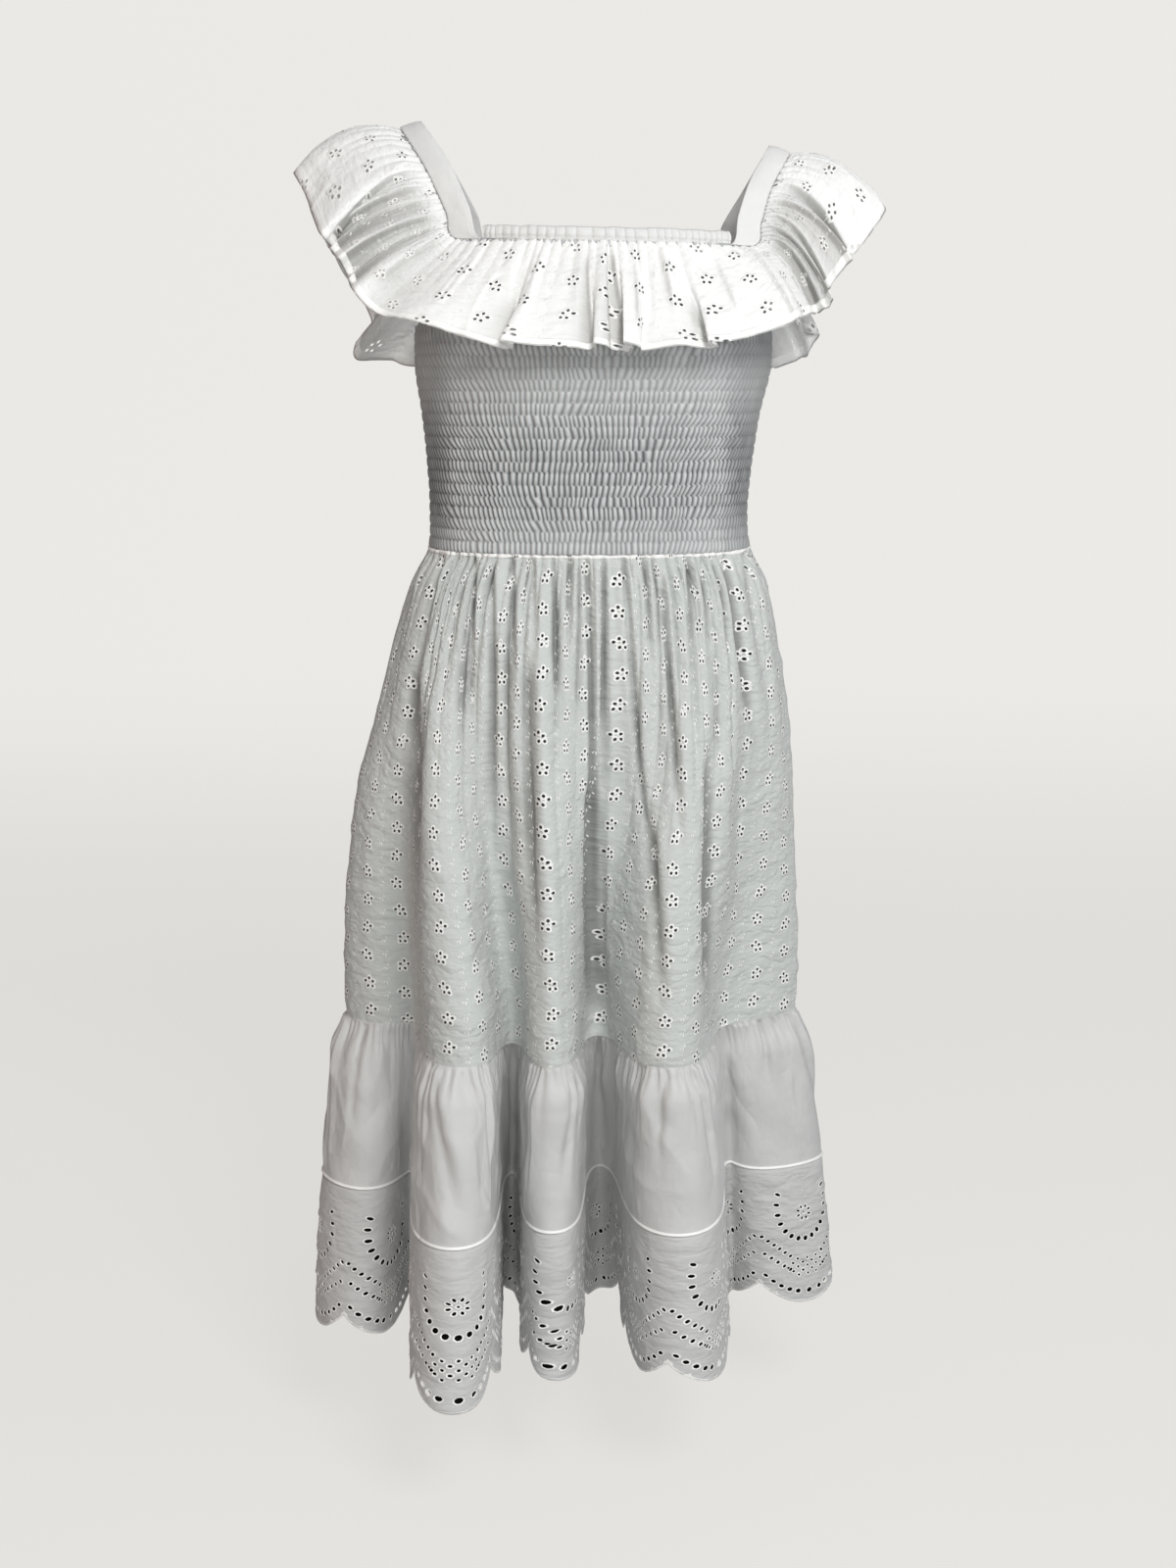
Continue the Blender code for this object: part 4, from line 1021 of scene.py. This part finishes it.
# %% the skirt
FRONT_SPAN, BACK_SPAN = (0.0, SCALLOPS_FRONT / SCALLOPS), (SCALLOPS_FRONT / SCALLOPS, 1.0)
skirt_heights = np.concatenate([[WAIST, WAIST - 0.0012], spaced(WAIST - 0.0026, FLOUNCE_TOP, 96, 0.75, 0.2)])
skirt = (skirt_point, (SEAM_SHARES, SEAM_LENGTH), skirt_heights, skirt_relief, SKIRT_LAWN)
skirt_front = tier_half("eyelet_skirt_front", FRONT_SPAN, 760, *skirt)
skirt_back = tier_half("eyelet_skirt_back", BACK_SPAN, 300, *skirt)

# %% [markdown]
# ## The plain flounce
# A plain strip is gathered onto the skirt's foot, in short close gathers that open into the large
# folds. Its lower edge is felled onto the border, which shows as a raised white line.


# %% the flounce
# Long creases of the flounce, along the hem's flat length and in height
FLOUNCE_TROUGHS = table(
    "from_u from_v to_u to_v depth width bow",
    """
0.05 -0.815 0.052 -1 0.005 0.003 0
0.1 -0.815 0.092 -0.94 0.004 0.004 0.002
0.372 -0.815 0.366 -0.93 0.006 0.0035 0.003
0.385 -0.83 0.41 -0.975 0.005 0.004 -0.002
0.42 -0.815 0.43 -0.88 0.004 0.003 0
0.44 -0.82 0.462 -0.95 0.004 0.004 0.002
0.824 -0.815 0.818 -0.96 0.005 0.003 0.002
0.862 -0.82 0.84 -0.96 0.005 0.004 -0.003
0.885 -0.815 0.88 -0.9 0.004 0.003 0
1.05 -0.815 1.046 -0.93 0.005 0.005 0.002
1.242 -0.815 1.236 -0.9 0.004 0.003 0.001
1.272 -0.815 1.262 -0.93 0.0045 0.003 0.003
1.3 -0.82 1.326 -0.96 0.005 0.004 -0.002
1.56 -0.815 1.556 -0.9 0.005 0.0035 0.002
1.6 -0.815 1.63 -0.95 0.005 0.004 0.003
1.775 -0.815 1.79 -0.96 0.0055 0.004 0.002
1.96 -0.815 1.95 -0.94 0.005 0.004 -0.002
2 -0.82 2.02 -0.96 0.005 0.0035 0.001
2.21 -0.815 2.19 -0.96 0.0055 0.004 0.002
2.25 -0.815 2.262 -0.9 0.0045 0.0035 0
2.44 -0.815 2.43 -0.95 0.005 0.004 0.001
""",
)


def flounce_relief(u, v, place):
    """Gathers 10.5, 34 and 60 mm apart that give way to each other, long creases and a raised seam."""
    drop = FLOUNCE_TOP - v
    foot = v - BORDER_TOP
    fine_pitch, middle_pitch, broad_pitch = 0.0105, 0.034, 0.060
    fine = (gathers(u, v, fine_pitch, 71, 0.45) - 0.6) * (1 - smooth_step(drop / 0.038))
    middle = (gathers(u, v, middle_pitch, 72, 0.9) - 0.5) * smooth_step(drop / 0.025)
    middle = middle * (1 - smooth_step((drop - 0.02) / 0.060))
    broad = (gathers(u, v, broad_pitch, 73, 1.4) - 0.5) * smooth_step((drop - 0.02) / 0.06)
    broad = broad * smooth_step(foot / 0.05)
    crumple = uneven(u, v, 0.035, 0.03, 74) * 0.0010
    welt = bell((foot - 0.0010) / 0.0011)
    off_seam = smooth_step(foot / 0.02)
    height = 0.0070 * fine + 0.0045 * middle + 0.0030 * broad + crumple * off_seam + 0.0016 * welt
    height = height + 0.9 * troughs(u, v, FLOUNCE_TROUGHS) * off_seam
    ridge = 0.0014 * crumpled(u, v, 0.034, 0.070, 75) + 0.0018 * crumpled(u + 0.6 * v, v, 0.050, 0.110, 76)
    height = (height + ridge * off_seam) * smooth_step(drop / 0.005)
    return height, np.clip(welt * 1.3, 0, 1)


above_border = BORDER_TOP + np.array([0.0030, 0.0021, 0.0012, 0.0004])
flounce_heights = np.concatenate([spaced(FLOUNCE_TOP, BORDER_TOP + 0.0042, 46, 0.6, 0.0), above_border])
flounce = (flounce_point, (HEM_SHARES, HEM_LENGTH), flounce_heights, flounce_relief, PLAIN)
flounce_front = tier_half("plain_flounce_front", FRONT_SPAN, 900, *flounce)
flounce_back = tier_half("plain_flounce_back", BACK_SPAN, 390, *flounce)

# %% [markdown]
# ## The cutwork border
# Embroidered cutwork repeats every 90 mm: a row of holes along each scallop, three chevrons that rise
# between scallops, a honeycomb, and an arc of holes around a flower. Each hole is cut for real, since
# the light shows through. The repeat is charted once, laid flat, and then carried round the folds.


# %% the chart of one repeat
def scallop_edge(across):
    """Height of the scalloped hem above its tips, at a share of the repeat: 24 mm times |2 share - 1|^2.2."""
    return SCALLOP_DEPTH * np.abs(2 * across - 1) ** SCALLOP_ROUNDNESS


EDGE_INSET, CELL, ARC_SWING, ARC_CENTRE, ARC_WIDE, ARC_TALL = 0.0125, 0.0049, 118.0, 0.0975, 0.0268, 0.0275
FLOWER_CENTRE, FLOWER_RING, PETALS = 0.0985, 0.0066, 8


def hole_chart():
    """Holes as (x from the scallop's middle, height above its tip, length, width, lean in degrees)."""
    holes = []
    for off in (0.0, 0.130, 0.218, 0.300, 0.373, 0.440):
        height = scallop_edge(0.5 + off) + EDGE_INSET + 0.003 * (2 * off) ** 2
        climb = scallop_edge(0.51 + off) - scallop_edge(0.49 + off)
        lean = np.degrees(np.arctan2(climb, 0.02 * SCALLOP_WIDTH))
        for side in {-1, 1} if off else {1}:
            length = 0.0060 - 0.0058 * off
            holes.append((side * off * SCALLOP_WIDTH, height, length, 0.0056 - 0.0024 * off, side * lean))
    upper = [(x, 0.0790 - 0.93 * (0.045 - x), 0.0044, 46.0) for x in np.arange(0.0418, 0.0125, -0.0050)]
    lower = [(x, 0.0585 - 0.80 * (0.043 - x), 0.0042, 50.0) for x in np.arange(0.0400, 0.0170, -0.0056)]
    for x, height, width, lean in upper + lower:
        holes += [(side * x, height, 0.0030, width, -side * lean) for side in (-1, 1)]
    for k in range(-4, 5):
        rows = (0.0402,) if abs(k) == 4 else (0.0358, 0.0446) if k % 2 else (0.0314, 0.0402, 0.0490)
        holes += [(k * CELL, height, 0.0030, 0.0031 if k % 2 else 0.0026, 0.0) for height in rows]
    for step in np.linspace(-1, 1, 15):
        swing = step * ARC_SWING
        x = ARC_WIDE * np.sin(np.radians(swing)) * (1 + 0.10 * abs(step) ** 4)
        height = ARC_CENTRE - ARC_TALL * np.cos(np.radians(swing)) + 0.0110 * abs(step) ** 2.5
        holes.append((x, height, 0.0060, 0.0051 - 0.0017 * abs(step), swing))
    for k in range(PETALS):
        turn = 2 * np.pi * (k + 0.5) / PETALS
        x, height = FLOWER_RING * np.sin(turn), FLOWER_CENTRE + FLOWER_RING * np.cos(turn)
        holes.append((x, height, 0.0040, 0.0025, -np.degrees(turn)))
    holes.append((0.0, FLOWER_CENTRE, 0.0022, 0.0022, 0.0))
    return np.array(holes)


HOLES = hole_chart()
HOLE_SIDES, RIM_WIDTH, EDGE_WIDTH, TILE_STEPS = 8, 0.0013, 0.0024, 24
print(f"cutwork: {len(HOLES)} holes a repeat, {len(HOLES) * SCALLOPS} in all")


# %% one repeat as a flat mesh
def hole_rings(holes, extra):
    """Each hole's outline as an ellipse with its half axes grown by extra, turned by its lean."""
    around = np.linspace(0, 2 * np.pi, HOLE_SIDES, endpoint=False) + np.pi / HOLE_SIDES
    up = np.cos(around) * (holes[:, 2:3] / 2 + extra)
    across = np.sin(around) * (holes[:, 3:4] / 2 + extra)
    lean = np.radians(holes[:, 4:5])
    x = across * np.cos(lean) - up * np.sin(lean)
    y = across * np.sin(lean) + up * np.cos(lean)
    return np.stack([holes[:, 0:1] + SCALLOP_WIDTH / 2 + x, holes[:, 1:2] + y], axis=-1)


def border_tile():
    """The repeat laid flat, joined into triangles round its holes: points, triangles, worked marks."""
    across = np.linspace(0, 1, TILE_STEPS + 1)
    x = across * SCALLOP_WIDTH
    side = np.linspace(SCALLOP_DEPTH, BORDER_DEPTH, 27)[1:-1]
    edge = np.column_stack([x, scallop_edge(across)])
    top = np.column_stack([x, np.full_like(x, BORDER_DEPTH)])
    right = np.column_stack([np.full_like(side, SCALLOP_WIDTH), side])
    left = np.column_stack([np.zeros_like(side), side])
    outline = np.concatenate([edge, right, top[::-1], left[::-1]])
    inner_edge = edge[1:-1] + np.array([0, EDGE_WIDTH])
    rims, cuts = hole_rings(HOLES, RIM_WIDTH), hole_rings(HOLES, 0.0)
    levels = np.arange(0.006, BORDER_DEPTH - 0.002, 0.0048)
    grid = np.stack(np.meshgrid(x[1:-1], levels), axis=-1).reshape(-1, 2)
    free = grid[:, 1] > scallop_edge(grid[:, 0] / SCALLOP_WIDTH) + EDGE_WIDTH + 0.002
    centres = HOLES[:, :2] + (SCALLOP_WIDTH / 2, 0)
    apart = np.linalg.norm(grid[:, None] - centres[None], axis=-1) - HOLES[:, 2:4].max(axis=1) / 2
    grid = grid[free & (apart.min(axis=1) > RIM_WIDTH + 0.0008)]
    points = np.concatenate([outline, rims.reshape(-1, 2), cuts.reshape(-1, 2), inner_edge, grid])
    edges = [(i, (i + 1) % len(outline)) for i in range(len(outline))]
    for start in range(len(outline), len(outline) + 2 * len(HOLES) * HOLE_SIDES, HOLE_SIDES):
        edges += [(start + i, start + (i + 1) % HOLE_SIDES) for i in range(HOLE_SIDES)]
    found = delaunay_2d_cdt([Vector(p) for p in points], edges, [], 0, 1e-7)
    flat, triangles = np.array([tuple(p) for p in found[0]]), np.array(found[2])
    middle = flat[triangles].mean(axis=1)
    inside = middle[:, 1] > scallop_edge(middle[:, 0] / SCALLOP_WIDTH)
    away = middle[:, None] - centres[None]
    lean = np.radians(HOLES[:, 4])
    far_x = (away[..., 0] * np.cos(lean) + away[..., 1] * np.sin(lean)) / (HOLES[:, 3] / 2)
    far_y = (-away[..., 0] * np.sin(lean) + away[..., 1] * np.cos(lean)) / (HOLES[:, 2] / 2)
    cut = (far_x**2 + far_y**2 < 0.93).any(axis=1)
    triangles = triangles[inside & ~cut]
    on_cut = np.linalg.norm(flat[:, None] - cuts.reshape(-1, 2)[None], axis=-1).min(axis=1) < 1e-5
    on_edge = flat[:, 1] < scallop_edge(flat[:, 0] / SCALLOP_WIDTH) + 1e-5
    return flat, triangles, (on_cut | on_edge).astype(float)


TILE = border_tile()
print("one repeat:", len(TILE[0]), "points,", len(TILE[1]), "triangles")


# %% the border on its folds
def border_half(name, first, count):
    """Repeats side by side, carried by the flounce surface; worked points are raised 0.5 mm."""
    flat, triangles, worked = TILE
    flat = flat / (SCALLOP_WIDTH, 1)
    points = np.concatenate([flat + (i, 0) for i in range(count)])
    faces = np.concatenate([triangles + i * len(flat) for i in range(count)])
    _, firsts, same = np.unique(np.round(points, 5), axis=0, return_index=True, return_inverse=True)
    points, faces = points[firsts], same.reshape(-1)[faces]
    worked = np.tile(worked, count)[firsts]
    used, faces_flat = np.unique(faces, return_inverse=True)
    points, worked, faces = points[used], worked[used], faces_flat.reshape(faces.shape)
    turn = turn_at((first + points[:, 0]) / SCALLOPS)
    z = HEM_TIP + points[:, 1]
    u = (first + points[:, 0]) * SCALLOP_WIDTH
    below = BORDER_TOP - z
    crumple = 0.0010 * uneven(u, z, 0.030, 0.030, 81) + 0.0006 * uneven(u, z, 0.012, 0.012, 82)
    height = 0.0005 * worked + crumple * smooth_step(below / 0.02)
    height = height + 0.0030 * uneven(u, z, 0.045, 0.5, 83) * smooth_step((below - 0.06) / 0.09)
    height = height + 0.0014 * crumpled(u, z, 0.030, 0.012, 84) * smooth_step(below / 0.02) * (1 - worked)
    height = height * smooth_step(np.minimum(u, SCALLOPS * SCALLOP_WIDTH - u) / SEAM_FADE)
    placed = raised(flounce_point, turn, z, height)
    cloth = np.column_stack([u, points[:, 1]])
    obj = sheet_object(name, placed, cloth, faces[:, ::-1], CUTWORK, hollow=0.0, worked=worked)
    thicken(obj, BORDER_WALL)
    return obj


border_front = border_half("cutwork_front", 0, SCALLOPS_FRONT)
border_back = border_half("cutwork_back", SCALLOPS_FRONT, SCALLOPS - SCALLOPS_FRONT)
border_faces = sum(len(half.data.polygons) for half in (border_front, border_back))
print("border:", border_faces, "triangles before thickness")

# %% [markdown]
# ## What each piece is
# Every piece rides on the dress's one body and stands in for its imported solids, which are hidden.
# The table also lists each solid's material slot, the size of the flat cloth it was cut from and how it
# hangs.

# %% the pieces and their solids
FRONT_CUT, BACK_CUT = SCALLOPS_FRONT * SCALLOP_WIDTH, (SCALLOPS - SCALLOPS_FRONT) * SCALLOP_WIDTH
PIECES = [
    (bodice_front, ["bodice_front"], "shirred_cotton", (0.55, 0.24), "stretched"),
    (bodice_back, ["bodice_back"], "shirred_cotton", (0.55, 0.24), "stretched"),
    (neckband_front, ["neckband_front"], "plain_cotton", (0.24, 0.014), "gathered"),
    (neckband_back, ["neckband_back"], "plain_cotton", (0.24, 0.014), "gathered"),
    (strap_right, ["strap_right"], "plain_cotton", (0.24, 0.026), "stretched"),
    (strap_left, ["strap_left"], "plain_cotton", (0.24, 0.026), "stretched"),
    (ruffle, ["ruffle_front", "ruffle_back"], "eyelet_cotton", (RUFFLE_WIDTH, RUFFLE_DEPTH), "gathered"),
    (skirt_front, ["skirt_front"], "eyelet_cotton", (0.92, 0.45), "gathered"),
    (skirt_back, ["skirt_back"], "eyelet_cotton", (0.75, 0.45), "gathered"),
    (flounce_front, ["flounce_front"], "plain_cotton", (FRONT_CUT, 0.16), "gathered"),
    (flounce_back, ["flounce_back"], "plain_cotton", (BACK_CUT, 0.16), "gathered"),
    (border_front, ["border_front"], "cutwork_cotton", (FRONT_CUT, 0.15), "hung"),
    (border_back, ["border_back"], "cutwork_cotton", (BACK_CUT, 0.15), "hung"),
]
for piece, nodes, slot_name, flat, held in PIECES:
    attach(piece, "root")
    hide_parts(*nodes)

# %% [markdown]
# ## Floor, light and camera
# The photo has a plain pale ground with no horizon and only a soft shade under the hem. A curved sweep
# of paper gives that; it glows for the camera, a painted light that is weaker near the floor. One large
# soft light stands above, in front and to the right, with a weak one low in front, a cool one on the right
# and a dim warm one on the left. In the photo the wearer makes the inside dark, so the cut holes read
# black; here a strip of black card inside the hem paints that shade. The card is part of the stage, not of
# the dress, and casts no shadow.

# %% the stage
FLOOR = -1.265


def sweep():
    """A floor that curves up into a wall: straight, then a quarter circle, then straight."""
    turn = np.linspace(0, np.pi / 2, 25)
    radius, back = 1.2, 1.6
    y = np.concatenate([[-6.0, -2.0], back + radius * np.sin(turn), [back + radius]])
    z = np.concatenate([[0, 0], radius * (1 - np.cos(turn)), [6.0]]) + FLOOR
    x = np.linspace(-6, 6, 5)
    points = np.stack(np.broadcast_arrays(x[None, :], y[::-1, None], z[::-1, None]), axis=-1)
    constants = {"Roughness": 0.95, "Specular IOR Level": 0.0, "Emission Color": (0.83, 0.815, 0.785, 1.0)}
    material, g, shader = principled("paper", constants)
    seen = g.node("ShaderNodeLightPath").outputs["Is Camera Ray"]
    paper = g.blend(seen, (0.50, 0.50, 0.49, 1.0), (0.16, 0.16, 0.156, 1.0))
    g.feed(shader.inputs["Base Color"], paper)
    rise = g.node("ShaderNodeSeparateXYZ", {0: g.node("ShaderNodeTexCoord").outputs["Object"]}).outputs[2]
    # Painted light: the paper glows for the camera, less near the floor, so it is darker towards the bottom
    painted_glow = g.math("MULTIPLY_ADD", g.ramp(rise, FLOOR, FLOOR + 0.4), 0.10, 0.81)
    g.feed(shader.inputs["Emission Strength"], g.times(seen, painted_glow))
    return grid_object("paper_sweep", points, points[..., :2], material)


def painted_shade_card():
    """Painted shade: a black strip 5 mm inside the border, on the same folds, down to 5 mm above the
    scalloped edge, unseen by bounced light and casting no shadow.
    """
    gap = 0.005
    share = np.linspace(0, 1, SCALLOPS * 20 + 1)
    foot = HEM_TIP + gap + scallop_edge(share * SCALLOPS % 1.0)
    z = foot + (BORDER_TOP - 0.004 - foot) * np.linspace(1, 0, 9)[:, None]
    turn = np.broadcast_to(turn_at(share), z.shape)
    points = raised(flounce_point, turn, z, -gap)
    black = {"Base Color": (0.012, 0.012, 0.011, 1.0), "Specular IOR Level": 0.0}
    card = grid_object("painted_shade_card", points, points[..., :2], principled("black card", black)[0])
    card.visible_diffuse = card.visible_glossy = card.visible_shadow = False
    return card


sweep()
painted_shade_card()


def area_light(name, place, target, size, power, colour):
    """A square soft light at a place, turned to face its target."""
    data = bpy.data.lights.new(name, "AREA")
    data.shape, data.size, data.energy, data.color = "SQUARE", size, power, colour
    obj = bpy.data.objects.new(name, data)
    bpy.context.scene.collection.objects.link(obj)
    obj.location = place
    obj.rotation_euler = (Vector(target) - Vector(place)).to_track_quat("-Z", "Y").to_euler()
    return obj


area_light("above", (0.90, -2.60, 1.6), (0.0, -0.1, -0.6), 1.1, 70.0, (1.0, 0.995, 0.98))
area_light("front", (-0.15, -2.5, -0.5), (0.0, 0.0, -0.7), 0.9, 12.0, (0.98, 1.0, 0.99))
area_light("right", (2.6, -1.2, 0.2), (0.0, 0.0, -0.8), 1.0, 13.0, (0.96, 0.99, 1.0))
area_light("left", (-2.4, -0.8, -0.3), (0.0, 0.0, -0.7), 1.0, 3.5, (1.0, 0.42, 0.15))
world = bpy.data.worlds.new("room")
bpy.context.scene.world = world
world.use_nodes = True
world.node_tree.nodes["Background"].inputs["Color"].default_value = (0.95, 0.97, 1.0, 1.0)
world.node_tree.nodes["Background"].inputs["Strength"].default_value = 0.24

# %% the camera
camera_data = bpy.data.cameras.new("camera")
camera_data.lens = 49.0
camera_data.sensor_width = 36.0
camera = bpy.data.objects.new("camera", camera_data)
bpy.context.scene.collection.objects.link(camera)
camera.location = (0.0, -2.0, -0.19)
camera.rotation_euler = (np.radians(90 - 11.67), 0.0, 0.0)
bpy.context.scene.camera = camera
bpy.context.scene.view_settings.view_transform = "Standard"
